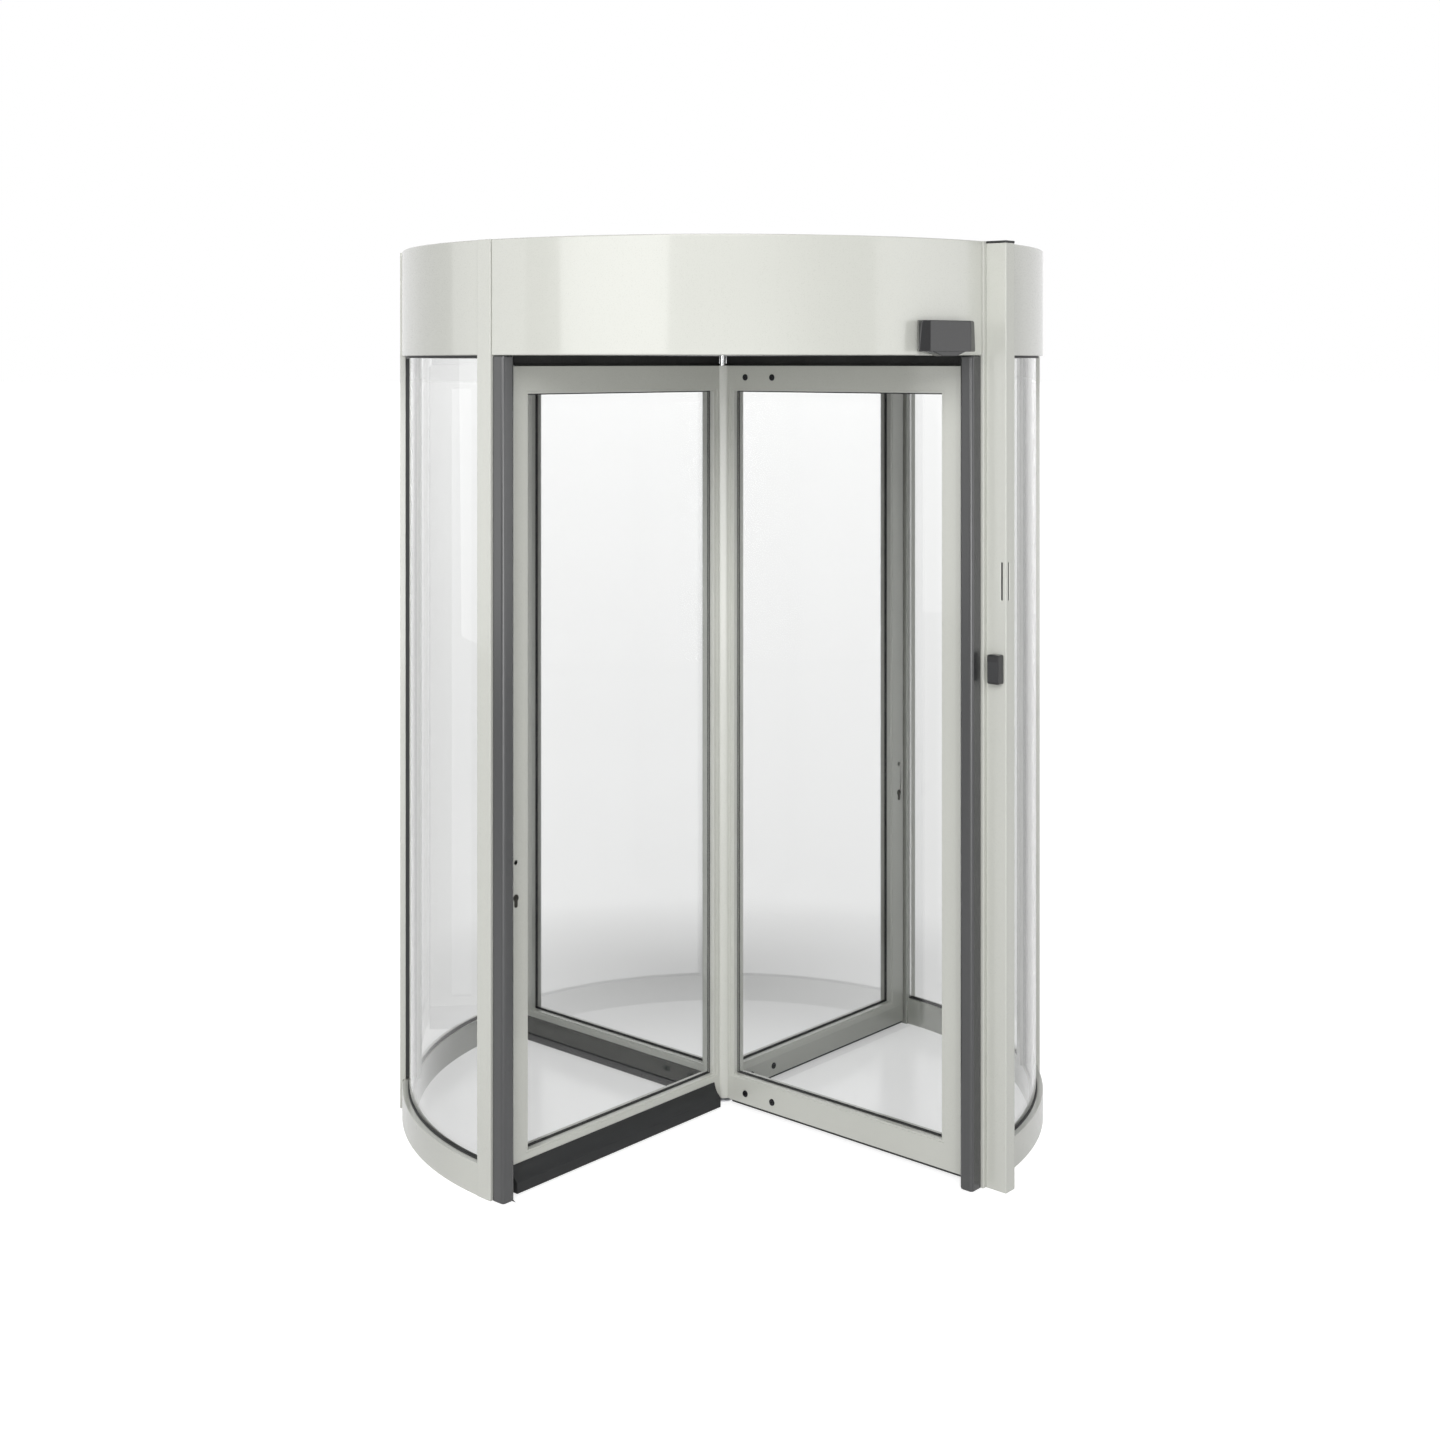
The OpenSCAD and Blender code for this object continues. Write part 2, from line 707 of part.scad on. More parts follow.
// Dark light guide behind the two slots, bent round the corner
module slot_insert() {
    u1 = reader_u1 - post_wall - fit;
    t0 = reader_t0 + post_wall + fit;
    guide_t = 4;
    color(rubber_black) at_reader()
        translate([0, 0, slot_z - slot_h / 2 - 12]) linear_extrude(height = slot_h + 24) {
            translate([u1 - slot_edge - slot_w - 2, t0]) square([slot_edge + slot_w + 2, guide_t]);
            translate([u1 - guide_t, t0]) square([guide_t, slot_edge + slot_w + 2]);
        }
}

// Outline of the card reader with round corners
module reader_outline(inset) {
    corner = 5 - inset;
    w = reader_w - 2 * inset;
    h = reader_h - 2 * inset;
    translate([inset, inset]) {
        translate([corner, 0]) square([w - 2 * corner, h]);
        translate([0, corner]) square([w, h - 2 * corner]);
        for (x = [corner, w - corner], y = [corner, h - corner])
            translate([x, y]) circle(r = corner, $fn = 32);
    }
}

// Places children on the reader post's front face: +Z points out of the face
module at_reader_face() {
    at_reader() translate([reader_u1 - reader_edge - reader_w, reader_t0, reader_z - reader_h / 2])
        rotate([90, 0, 0]) children();
}

// Housing of the card reader
module card_reader() {
    color(rubber_black) at_reader_face() difference() {
        linear_extrude(height = reader_d) reader_outline(0);
        translate([0, 0, reader_d - 1]) linear_extrude(height = 1 + eps) reader_outline(1.5);
    }
}

// Touch window of the card reader
module reader_face() {
    color("#1a1a1c") at_reader_face() translate([0, 0, reader_d - 1])
        linear_extrude(height = 1 + reader_face_t) reader_outline(1.5 + fit);
}

// Places children at the motion sensor: +X points out of the canopy, +Z is up
module at_sensor() {
    rotate([0, 0, -90 + sensor_angle]) translate([drum_r, 0, clear_h + sensor_lift]) children();
}

// Front view of the sensor housing: wider at the bottom, with round upper corners
module sensor_front() {
    half_top = sensor_w / 2 - 6;
    half_low = sensor_w / 2;
    corner = 8;
    polygon(concat(
        [[-half_low, 0], [half_low, 0]],
        [for (a = [0 : 15 : 90]) [half_top - corner + corner * cos(a), sensor_h - corner + corner * sin(a)]],
        [for (a = [90 : 15 : 180]) [-half_top + corner + corner * cos(a), sensor_h - corner + corner * sin(a)]]));
}

// Plan view of the sensor housing: narrow at the wall, widest behind the front bevels
module sensor_plan() {
    half_low = sensor_w / 2;
    polygon([[-12, -half_low + 29], [sensor_d - 12, -half_low], [sensor_d - 1, -half_low + 25],
        [sensor_d, -half_low + 27], [sensor_d, half_low - 27], [sensor_d - 1, half_low - 25],
        [sensor_d - 12, half_low], [-12, half_low - 29]]);
}

// Moulded housing of the motion sensor, seated on the curved fascia
module sensor_housing() {
    color(anthracite) difference() {
        at_sensor() difference() {
            intersection() {
                rotate([90, 0, 90]) translate([0, 0, -12]) linear_extrude(height = sensor_d + 12) sensor_front();
                linear_extrude(height = sensor_h) sensor_plan();
            }
            box([6, -sensor_w / 2 + 40, -eps], [sensor_d - 4, sensor_w / 2 - 40, 8]);
        }
        cylinder(r = drum_r + fit, h = total_h);
    }
}

// Lens hood under the sensor housing, a glossy trapezoid that tilts towards the floor
module sensor_lens() {
    half_top = sensor_w / 2 - 40 - fit;
    half_low = sensor_w / 2 - 70;
    color("#101113") at_sensor() rotate([90, 0, 90]) translate([0, 0, 6 + fit])
        linear_extrude(height = sensor_d - 10 - 2 * fit)
            polygon([[-half_top, 8 - fit], [-half_top, 0], [-half_low, -lens_drop],
                [half_low, -lens_drop], [half_top, 0], [half_top, 8 - fit]]);
}

// Centre column with its end plugs and the eight arms that carry the wings
module centre_column() {
    color(powder) difference() {
        union() {
            difference() {
                translate([0, 0, floor_gap]) cylinder(r = column_r, h = top_z1 - floor_gap);
                translate([0, 0, floor_gap + 45]) cylinder(r = column_r - column_wall, h = top_z1 - floor_gap - 75);
            }
            for (a = CORNERS, z = screw_top_z) rotate([0, 0, a])
                box([column_r - column_wall / 2, -arm_half_t, z - arm_h / 2], [arm_l, arm_half_t, z + arm_h / 2]);
        }
        translate([0, 0, floor_gap - eps]) cylinder(r = 10 + run, h = 33 + eps);
        translate([0, 0, top_z1 - 20]) cylinder(r = shaft_neck_r + run, h = 20 + eps);
        for (a = CORNERS, z = screw_top_z, s = screw_stations) rotate([0, 0, a])
            translate([s, -arm_half_t - eps, z]) rotate([-90, 0, 0])
                cylinder(r = screw_shank_r + fit, h = screw_shank_l + fit + eps, $fn = 32);
    }
}

// Drive shaft, polished where it shows, with its shoulder and retaining nut
module drive_shaft() {
    color(bright_steel) {
        translate([0, 0, top_z1 - 20]) cylinder(r = shaft_neck_r, h = ceiling_top + 34 - top_z1 + 20);
        translate([0, 0, ceiling_top + 34]) cylinder(r = shaft_r, h = index_z1 + nut_t + 4 - ceiling_top - 34);
        translate([0, 0, shoulder_z]) cylinder(r = shoulder_r, h = shoulder_t);
        translate([0, 0, index_z1]) difference() {
            cylinder(r = nut_r, h = nut_t, $fn = 6);
            translate([0, 0, -eps]) cylinder(r = shaft_r + run, h = nut_t + 2 * eps);
        }
    }
}

// Large drive gear with its hub and six windows
module drive_gear() {
    color("#9a9fa5") translate([0, 0, gear_z0]) difference() {
        union() {
            linear_extrude(height = gear_w) gear_outline(gear_teeth);
            cylinder(r = hub_r, h = gear_w + hub_rise);
        }
        translate([0, 0, -eps]) cylinder(r = shaft_r + run, h = gear_w + hub_rise + 2 * eps);
        for (a = [30 : 60 : 360]) rotate([0, 0, a])
            translate([(hub_r + gear_pitch_r) / 2 - 3, 0, -eps])
                cylinder(r = (gear_pitch_r - hub_r) / 4, h = gear_w + 2 * eps);
    }
}

// Index disc whose four flared notches hold the wings at the posts
module index_disc() {
    color("#a7abb0") translate([0, 0, index_z0]) difference() {
        cylinder(r = index_r, h = index_t);
        translate([0, 0, -eps]) cylinder(r = shaft_r + run, h = index_t + 2 * eps);
        for (a = [0 : 90 : 270]) rotate([0, 0, a]) translate([index_r, 0, -eps])
            linear_extrude(height = index_t + 2 * eps)
                polygon([[-notch_depth, -notch_half], [eps, -notch_mouth_half],
                    [eps, notch_mouth_half], [-notch_depth, notch_half]]);
    }
}

// Pinion on the gearbox's output shaft
module drive_pinion() {
    color("#9a9fa5") translate([gear_centres, 0, 0]) {
        translate([0, 0, beam_top - 38]) cylinder(r = pinion_shaft_r, h = gear_z0 - beam_top + 38);
        translate([0, 0, gear_z0]) rotate([0, 0, 180 / pinion_teeth])
            linear_extrude(height = gear_w) gear_outline(pinion_teeth);
    }
}

// Locking bolt with a tapered tip, drawn back at rest
module locking_bolt() {
    color(bright_steel) translate([solenoid_x - solenoid_l + 10, 0, lock_pin_z]) rotate([0, 90, 0]) {
        cylinder(r = lock_pin_r, h = lock_pin_l - lock_tip_l);
        translate([0, 0, lock_pin_l - lock_tip_l])
            cylinder(r1 = lock_pin_r, r2 = lock_pin_r - lock_tip_taper, h = lock_tip_l);
    }
}

// Section of a rail, across the wing and up: groove for the glass on one side
module rail_section(height, groove_up) {
    mirror([0, groove_up ? 0 : 1]) translate([0, groove_up ? 0 : -height]) difference() {
        translate([-half_t, 0]) square([wing_t, height]);
        translate([-groove_t / 2, height - groove_d]) square([groove_t, groove_d + eps]);
        translate([-half_t + wing_wall, wing_wall])
            square([wing_t - 2 * wing_wall, height - groove_d - cavity_web - wing_wall]);
    }
}

// Frame of one wing: two stiles and two rails. The lock wings have a lock cut into the stile
module wing_frame(angle, locked) {
    color(powder) rotate([0, 0, angle]) {
        difference() {
            translate([0, 0, rail_z0]) linear_extrude(height = top_z1 - rail_z0) difference() {
                translate([stile_s0, -half_t]) square([stile_w, wing_t]);
                translate([stile_s0 - eps, -groove_t / 2]) square([groove_d + eps, groove_t]);
            }
            box([stile_cavity_s0, -half_t + wing_wall, -eps],
                [stile_cavity_s1, half_t - wing_wall, top_z1 - wing_wall]);
            if (locked) {
                translate([lock_s, half_t + eps, plug_z]) rotate([90, 0, 0])
                    linear_extrude(height = wing_t + 2 * eps) euro_section(fit);
                translate([lock_s, half_t + eps, plug_z + spindle_rise]) rotate([90, 0, 0])
                    cylinder(r = spindle_r, h = wing_t + 2 * eps);
                translate([lock_s, 0, top_z1 - wing_wall - eps])
                    cylinder(r = guide_r + fit, h = wing_wall + 2 * eps);
            }
        }
        for (rail = [[rail_z0, bottom_rail_h, true, screw_low_z], [top_z0, top_rail_h, false, screw_high_z]])
            difference() {
                translate([0, 0, rail[0]]) rotate([90, 0, 90]) linear_extrude(height = stile_s0)
                    rail_section(rail[1], rail[2]);
                translate([0, 0, rail[0] - eps]) cylinder(r = column_clear_r, h = rail[1] + 2 * eps);
                for (s = screw_stations) translate([s, -half_t - eps, rail[3]]) rotate([-90, 0, 0])
                    cylinder(r = screw_head_r + 1, h = wing_wall + 2 * eps, $fn = 32);
            }
        difference() {
            union() {
                box([0, -half_t, rail_z1], [inner_s1, half_t, top_z0]);
                box([inner_s1 - eps, -tongue_t / 2, rail_z1], [inner_s1 + tongue_l, tongue_t / 2, top_z0]);
            }
            translate([0, 0, rail_z1 - eps]) cylinder(r = column_clear_r, h = top_z0 - rail_z1 + 2 * eps);
            box([glass_s0 - fit, -groove_t / 2, rail_z1 - eps],
                [inner_s1 + tongue_l + eps, groove_t / 2, top_z0 + eps]);
        }
    }
}

// Glass of one wing, held in the frame's grooves
module wing_glass(angle) {
    color(glass_tint) rotate([0, 0, angle])
        box([glass_s0, -wing_glass_t / 2, rail_z1 - wing_bite], [glass_s1, wing_glass_t / 2, top_z0 + wing_bite]);
}

// Glazing beads on both sides of each wing's glass
module wing_beads() {
    color(rubber_black) for (a = CORNERS, side = [0, 1]) rotate([0, 0, a]) mirror([0, side, 0]) difference() {
        box([inner_s1, wing_glass_t / 2 + fit, rail_z1], [stile_s0, half_t - bead_set, top_z0]);
        box([inner_s1 + inner_bead_w, 0, rail_z1 + bead_w], [stile_s0 - bead_w, half_t, top_z0 - bead_w]);
        box([inner_s1 - eps, 0, rail_z1 - eps], [inner_s1 + tongue_l + fit, tongue_t / 2 + fit, top_z0 + eps]);
    }
}

// Section of the bumper in front of the bottom rail: upright face, then a hollow slope
module bumper_section() {
    steps = 8;
    rise = bumper_top - bumper_gap - bumper_face_h;
    run_in = bumper_d - bumper_lip;
    slope = norm([rise, run_in]);
    polygon(concat(
        [[half_t, bumper_gap], [half_t + bumper_d, bumper_gap]],
        [for (i = [0 : steps]) let (f = i / steps, sag = bumper_sag * sin(180 * f))
            [half_t + bumper_d - run_in * f - sag * rise / slope,
             bumper_gap + bumper_face_h + rise * f - sag * run_in / slope]],
        [[half_t, bumper_top]]));
}

// Bumpers on the leading side of the four bottom rails
module wing_bumpers() {
    color(anthracite) for (a = CORNERS) rotate([0, 0, a]) translate([bumper_start, 0, 0])
        rotate([90, 0, 90]) linear_extrude(height = wing_r - 2 - bumper_start) bumper_section();
}

// Comb outline of a brush's bristles, along the wing and up
module tuft_comb(s0, s1, count) {
    pitch = (s1 - s0) / count;
    tip = ceiling_z - brush_gap;
    polygon(concat(
        [[s0, top_z1 + 1]],
        [for (i = [0 : count - 1]) let (a = s0 + pitch * (i + (1 - tuft_fill) / 2), b = a + pitch * tuft_fill)
            each [[a, top_z1 + holder_h], [a, tip], [b, tip], [b, top_z1 + holder_h]]],
        [[s1, top_z1 + 1]]));
}

// Top brush of one wing: a holder with a row of bristle tufts
module wing_brush(angle, s1) {
    rotate([0, 0, angle]) {
        box([brush_s0, -holder_t / 2, top_z1], [s1, holder_t / 2, top_z1 + holder_h]);
        translate([0, tuft_t / 2, 0]) rotate([90, 0, 0]) linear_extrude(height = tuft_t)
            tuft_comb(brush_s0, s1, tufts);
    }
}

// Top brushes of the four wings, shorter where a shoot bolt passes
module wing_brushes() {
    color(rubber_black) {
        for (a = [FRONT_RIGHT, REAR_LEFT]) wing_brush(a, brush_end_full);
        for (a = LOCK_WINGS) wing_brush(a, brush_end_lock);
    }
}

// Bottom seals under the rails, and finned seals on the wings' outer edges
module wing_seals() {
    color(rubber_black) for (a = CORNERS) rotate([0, 0, a]) {
        difference() {
            box([0, -half_t + 4, floor_gap - floor_seal_h], [wing_r, half_t - 4, floor_gap]);
            translate([0, 0, -eps]) cylinder(r = column_clear_r, h = floor_gap + 2 * eps);
        }
        box([wing_r, -8, floor_gap + 5], [wing_r + 3, 8, top_z1 - 5]);
        box([wing_r + 3 - eps, -2.5, floor_gap + 5], [wing_reach, 2.5, top_z1 - 5]);
    }
}

// Socket screws that hold the rails to the hub arms, on the trailing side
module wing_screws() {
    color("#2f3032") for (a = CORNERS, z = screw_top_z, s = screw_stations) rotate([0, 0, a])
        translate([s, -arm_half_t, z]) rotate([90, 0, 0]) difference() {
            union() {
                cylinder(r = screw_head_r, h = screw_head_t, $fn = 32);
                translate([0, 0, -screw_shank_l]) cylinder(r = screw_shank_r, h = screw_shank_l, $fn = 32);
            }
            translate([0, 0, 1]) cylinder(r = 4, h = screw_head_t, $fn = 6);
        }
}

// Section of a profile cylinder lock, round above a narrow leg
module euro_section(extra = 0) {
    circle(r = euro_r + extra);
    translate([-euro_leg_w / 2 - extra, -euro_leg_l]) square([euro_leg_w + 2 * extra, euro_leg_l]);
    translate([0, -euro_leg_l]) circle(r = euro_leg_w / 2 + extra);
}

// Lock case in each lock wing's stile, and the guide bush of its shoot bolt
module lock_cases() {
    color(steel) for (a = LOCK_WINGS) rotate([0, 0, a]) {
        difference() {
            box([stile_cavity_s1 - case_l, -case_t / 2, case_z0], [stile_cavity_s1, case_t / 2, case_z1]);
            translate([lock_s, case_t / 2 + eps, plug_z]) rotate([90, 0, 0])
                linear_extrude(height = case_t + 2 * eps) euro_section(fit);
            translate([lock_s, case_t / 2 + eps, plug_z + spindle_rise]) rotate([90, 0, 0])
                cylinder(r = 4, h = case_t + 2 * eps, $fn = 4);
        }
        translate([lock_s, 0, 0]) difference() {
            union() {
                translate([0, 0, guide_top - guide_l]) cylinder(r = guide_r, h = guide_l);
                translate([0, 0, top_z1]) cylinder(r = guide_flange_r, h = guide_flange_t);
            }
            translate([0, 0, guide_top - guide_l - eps]) cylinder(r = bolt_r + run, h = guide_l + 2 * eps);
        }
    }
}

// Profile cylinders, through the stiles of the lock wings
module lock_cylinders() {
    color("#c9c4b2") for (a = LOCK_WINGS) rotate([0, 0, a])
        translate([lock_s, half_t + 0.5, plug_z]) rotate([90, 0, 0]) difference() {
            linear_extrude(height = wing_t + 1) euro_section();
            translate([0, 0, -eps]) cylinder(r = plug_r + run, h = wing_t + 1 + 2 * eps);
        }
}

// Turning plug of a lock, with a key slot at both ends
module lock_plug(angle) {
    color("#d4cfbd") rotate([0, 0, angle]) translate([lock_s, 0, plug_z]) rotate([90, 0, 0]) difference() {
        translate([0, 0, -half_t - 0.8]) cylinder(r = plug_r, h = wing_t + 1.6);
        for (side = [-1, 1]) translate([-1, -4, side * (half_t + 0.8) - 4]) cube([2, 8, 8]);
    }
}

// Shoot bolt: a rod from the lock case up through its guide
module shoot_bolt(angle) {
    color(bright_steel) rotate([0, 0, angle]) translate([lock_s, 0, case_z1 + fit])
        cylinder(r = bolt_r, h = bolt_tip - case_z1 - fit);
}

floor_bearing();
skirt(180);  // skirt_left
skirt(0);  // skirt_right
wall_glass(180, 1);  // wall_glass_front_left
wall_glass(180, -1);  // wall_glass_rear_left
wall_glass(0, -1);  // wall_glass_front_right
wall_glass(0, 1);  // wall_glass_rear_right
wall_gaskets();
post(FRONT_LEFT);  // post_front_left
post(FRONT_RIGHT);  // post_front_right
post(REAR_LEFT);  // post_rear_left
post(REAR_RIGHT);  // post_rear_right
safety_edges();
mullion(180);  // mullion_left
mullion(0);  // mullion_right
fascia(-90);  // fascia_front
fascia(90);  // fascia_rear
fascia(180);  // fascia_left
fascia(0);  // fascia_right
canopy_frame();
ceiling_panel();
roof_cover();
bearing_housing();
gearmotor();
control_box();
strike_sockets();
locking_solenoid();
reader_post();
reader_post_cap();
slot_insert();
card_reader();
reader_face();
sensor_housing();
sensor_lens();
centre_column();
drive_shaft();
drive_gear();
index_disc();
wing_frame(FRONT_LEFT, true);  // wing_frame_front_left
wing_frame(FRONT_RIGHT, false);  // wing_frame_front_right
wing_frame(REAR_LEFT, false);  // wing_frame_rear_left
wing_frame(REAR_RIGHT, true);  // wing_frame_rear_right
wing_glass(FRONT_LEFT);  // wing_glass_front_left
wing_glass(FRONT_RIGHT);  // wing_glass_front_right
wing_glass(REAR_LEFT);  // wing_glass_rear_left
wing_glass(REAR_RIGHT);  // wing_glass_rear_right
wing_beads();
wing_bumpers();
wing_brushes();
wing_seals();
wing_screws();
lock_cases();
lock_cylinders();
lock_plug(FRONT_LEFT);  // lock_plug_front
lock_plug(REAR_RIGHT);  // lock_plug_rear
shoot_bolt(FRONT_LEFT);  // shoot_bolt_front
shoot_bolt(REAR_RIGHT);  // shoot_bolt_rear
drive_pinion();
locking_bolt();
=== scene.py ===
"""Looks of the security revolving door.

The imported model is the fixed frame, and this script dresses it. Curved sheet
metal, glass and gaskets are swept again with smooth sections, profiles get their
edge radii, and bristles, seals, screws and the reader's marks are added. Each
surface gets its own finish. Lengths are in metres, +Z is up, the front opening
faces -Y and the rotor turns about the Z axis.
"""

import json
import logging
import math
from collections.abc import Sequence
from dataclasses import dataclass
from enum import Enum, StrEnum, auto

import bmesh
import bpy
from bmesh.types import BMesh, BMVert
from bpy.types import ID, Material, Mesh, Node, NodeSocket, NodeTree, Object, World
from mathutils import Matrix, Vector


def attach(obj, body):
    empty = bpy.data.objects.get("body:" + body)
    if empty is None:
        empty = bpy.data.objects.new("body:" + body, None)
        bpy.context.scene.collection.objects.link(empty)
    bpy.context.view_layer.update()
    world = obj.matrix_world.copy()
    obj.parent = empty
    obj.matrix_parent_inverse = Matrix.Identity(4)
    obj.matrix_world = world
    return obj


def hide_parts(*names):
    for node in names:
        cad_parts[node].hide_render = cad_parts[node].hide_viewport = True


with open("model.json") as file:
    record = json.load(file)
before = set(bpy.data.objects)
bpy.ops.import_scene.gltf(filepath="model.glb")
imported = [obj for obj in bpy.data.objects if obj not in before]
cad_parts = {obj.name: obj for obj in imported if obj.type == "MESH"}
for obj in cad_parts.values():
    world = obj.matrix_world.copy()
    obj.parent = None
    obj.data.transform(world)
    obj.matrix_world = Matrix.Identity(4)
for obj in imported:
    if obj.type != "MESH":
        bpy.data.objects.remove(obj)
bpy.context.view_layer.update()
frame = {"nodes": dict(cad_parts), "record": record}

LOG = logging.getLogger("revolving_door")
SAME_POINT = 0.000001

Colour = tuple[float, float, float, float]
Span = tuple[float, float]
Triple = tuple[float, float, float]
Edges = tuple[float, float, float, float]
Outline = list[Span]


class Body(StrEnum):
    """The rigid bodies of the door."""

    DRUM = auto()
    ROTOR = auto()


class Slot(StrEnum):
    """The material slots of the record."""

    POWDER_COAT = auto()
    CEILING_COAT = auto()
    ROOF_COAT = auto()
    WALL_GLASS = auto()
    WING_GLASS = auto()
    GASKET_RUBBER = auto()
    EDGE_RUBBER = auto()
    BRISTLE = auto()
    DARK_PLASTIC = auto()
    SHAFT_STEEL = auto()
    MACHINED_STEEL = auto()
    FRAME_STEEL = auto()
    DRIVE_ALLOY = auto()
    BOX_COAT = auto()
    SCREW_STEEL = auto()
    LOCK_BRASS = auto()
    LOCK_STEEL = auto()


class Corner(Enum):
    """The four posts, and the wings that stand at them at rest. The value is the angle in degrees."""

    FRONT_LEFT = -135.0
    FRONT_RIGHT = -45.0
    REAR_RIGHT = 45.0
    REAR_LEFT = 135.0

    @property
    def turn(self) -> Matrix:
        """Rotation from the corner's own frame, with +X outwards, to the door's frame."""
        return Matrix.Rotation(math.radians(self.value), 4, "Z")

    @property
    def post_frame(self) -> Matrix:
        """Frame of the post: +X outwards and +Y away from the opening."""
        mirrored = self in (Corner.FRONT_RIGHT, Corner.REAR_LEFT)
        return self.turn @ Matrix.Scale(-1.0 if mirrored else 1.0, 4, (0, 1, 0))

    @property
    def locked(self) -> bool:
        """Whether the wing at this corner holds a lock."""
        return self in (Corner.FRONT_LEFT, Corner.REAR_RIGHT)

    def node(self, stem: str) -> str:
        """Name of this corner's node."""
        return f"{stem}_{self.name.lower()}"


# Node trees


class Graph:
    """A shader or geometry node tree while it is being wired."""

    def __init__(self, tree: NodeTree) -> None:
        """Take the tree that gets the nodes."""
        self.tree = tree

    def add(self, kind: str, feeds: dict | None = None, **settings: object) -> Node:
        """Add a node.

        Args:
            kind: The node's type name.
            feeds: Input name or number to what feeds it.
            settings: Properties of the node.

        Returns:
            The new node.
        """
        node = self.tree.nodes.new(kind)
        node.location = (210 * (len(self.tree.nodes) % 9), -260 * (len(self.tree.nodes) // 9))
        for key, value in settings.items():
            setattr(node, key, value)
        for key, value in (feeds or {}).items():
            self.feed(node.inputs[key], value)
        return node

    def feed(self, target: NodeSocket, value: object) -> None:
        """Feed an input.

        Args:
            target: The input.
            value: A socket, a node whose first output is meant, or a plain value.
        """
        if isinstance(value, Node):
            value = value.outputs[0]
        if isinstance(value, NodeSocket):
            self.tree.links.new(value, target)
        else:
            target.default_value = value

    def calc(self, operation: str, *values: object, **settings: object) -> Node:
        """Add a node for an arithmetic operation."""
        return self.add("ShaderNodeMath", dict(enumerate(values)), operation=operation, **settings)

    def vector(self, operation: str, *values: object) -> Node:
        """Add a node for an operation on vectors."""
        return self.add("ShaderNodeVectorMath", dict(enumerate(values)), operation=operation)

    def sum(self, value: object, factor: object, extra: object) -> Node:
        """Add a node for value times factor plus extra."""
        return self.calc("MULTIPLY_ADD", value, factor, extra)

    def product(self, left: object, right: object) -> Node:
        """Add a node for left times right, held between 0 and 1."""
        return self.calc("MULTIPLY", left, right, use_clamp=True)

    def blend(self, factor: object, first: object, second: object) -> NodeSocket:
        """Return a colour between first and second."""
        return self.add("ShaderNodeMix", {0: factor, 6: first, 7: second}, data_type="RGBA").outputs[2]

    def ramp(self, value: object, span: Span, ends: tuple = (0.0, 1.0)) -> Node:
        """Add a node that moves value from a span onto two ends, and holds it between them."""
        feeds = dict(enumerate((value, *span, *ends)))
        return self.add("ShaderNodeMapRange", feeds, clamp=True)

    def mix(self, factor: object, first: object, second: object) -> Node:
        """Add a node for a number between first and second."""
        return self.add("ShaderNodeMix", {0: factor, 2: first, 3: second})

    def noise(self, place: object, scale: object, detail: float = 2.0) -> Node:
        """Add soft noise between 0 and 1 at a place."""
        return self.add("ShaderNodeTexNoise", {"Vector": place, "Scale": scale, "Detail": detail})

    def seen_rays(self, *kinds: str) -> Node:
        """Tell rays of some kinds that haven't met a matt surface on their way.

        Args:
            kinds: Outputs of the Light Path node.

        Returns:
            A node that gives 1 for such rays.
        """
        path = self.add("ShaderNodeLightPath").outputs
        seen = path[kinds[0]]
        for kind in kinds[1:]:
            seen = self.calc("MAXIMUM", seen, path[kind])
        return self.product(seen, self.calc("LESS_THAN", path["Diffuse Depth"], 0.5))

    def object_place(self) -> NodeSocket:
        """Return the point on the surface in the object's own coordinates."""
        return self.add("ShaderNodeTexCoord").outputs["Object"]


def blank_graph(owner: Material | World) -> Graph:
    """Empty the node tree of a material or world.

    Args:
        owner: The material or world.

    Returns:
        Its graph.
    """
    owner.use_nodes = True
    owner.node_tree.nodes.clear()
    return Graph(owner.node_tree)


def socket_type(value: object) -> str:
    """Find the type of a socket.

    Args:
        value: A value that the socket takes, or the type itself as a text.

    Returns:
        The socket's type name.
    """
    if isinstance(value, tuple):
        return "NodeSocketColor" if len(value) == 4 else "NodeSocketVector"
    return {float: "NodeSocketFloat", int: "NodeSocketInt"}.get(type(value), value)


def new_group(name: str, kind: str, inputs: dict[str, object], outputs: dict[str, str]) -> tuple:
    """Start a node group with named sockets.

    Args:
        name: The group's name.
        kind: The tree's type name.
        inputs: Input name to its value or its socket type.
        outputs: Output name to its socket type.

    Returns:
        The graph, its input node and its output node.
    """
    tree = bpy.data.node_groups.new(name, kind)
    for label, value in inputs.items():
        socket = tree.interface.new_socket(label, in_out="INPUT", socket_type=socket_type(value))
        if not isinstance(value, str):
            socket.default_value = value
    for label, value in outputs.items():
        tree.interface.new_socket(label, in_out="OUTPUT", socket_type=value)
    graph = Graph(tree)
    return graph, graph.add("NodeGroupInput"), graph.add("NodeGroupOutput")


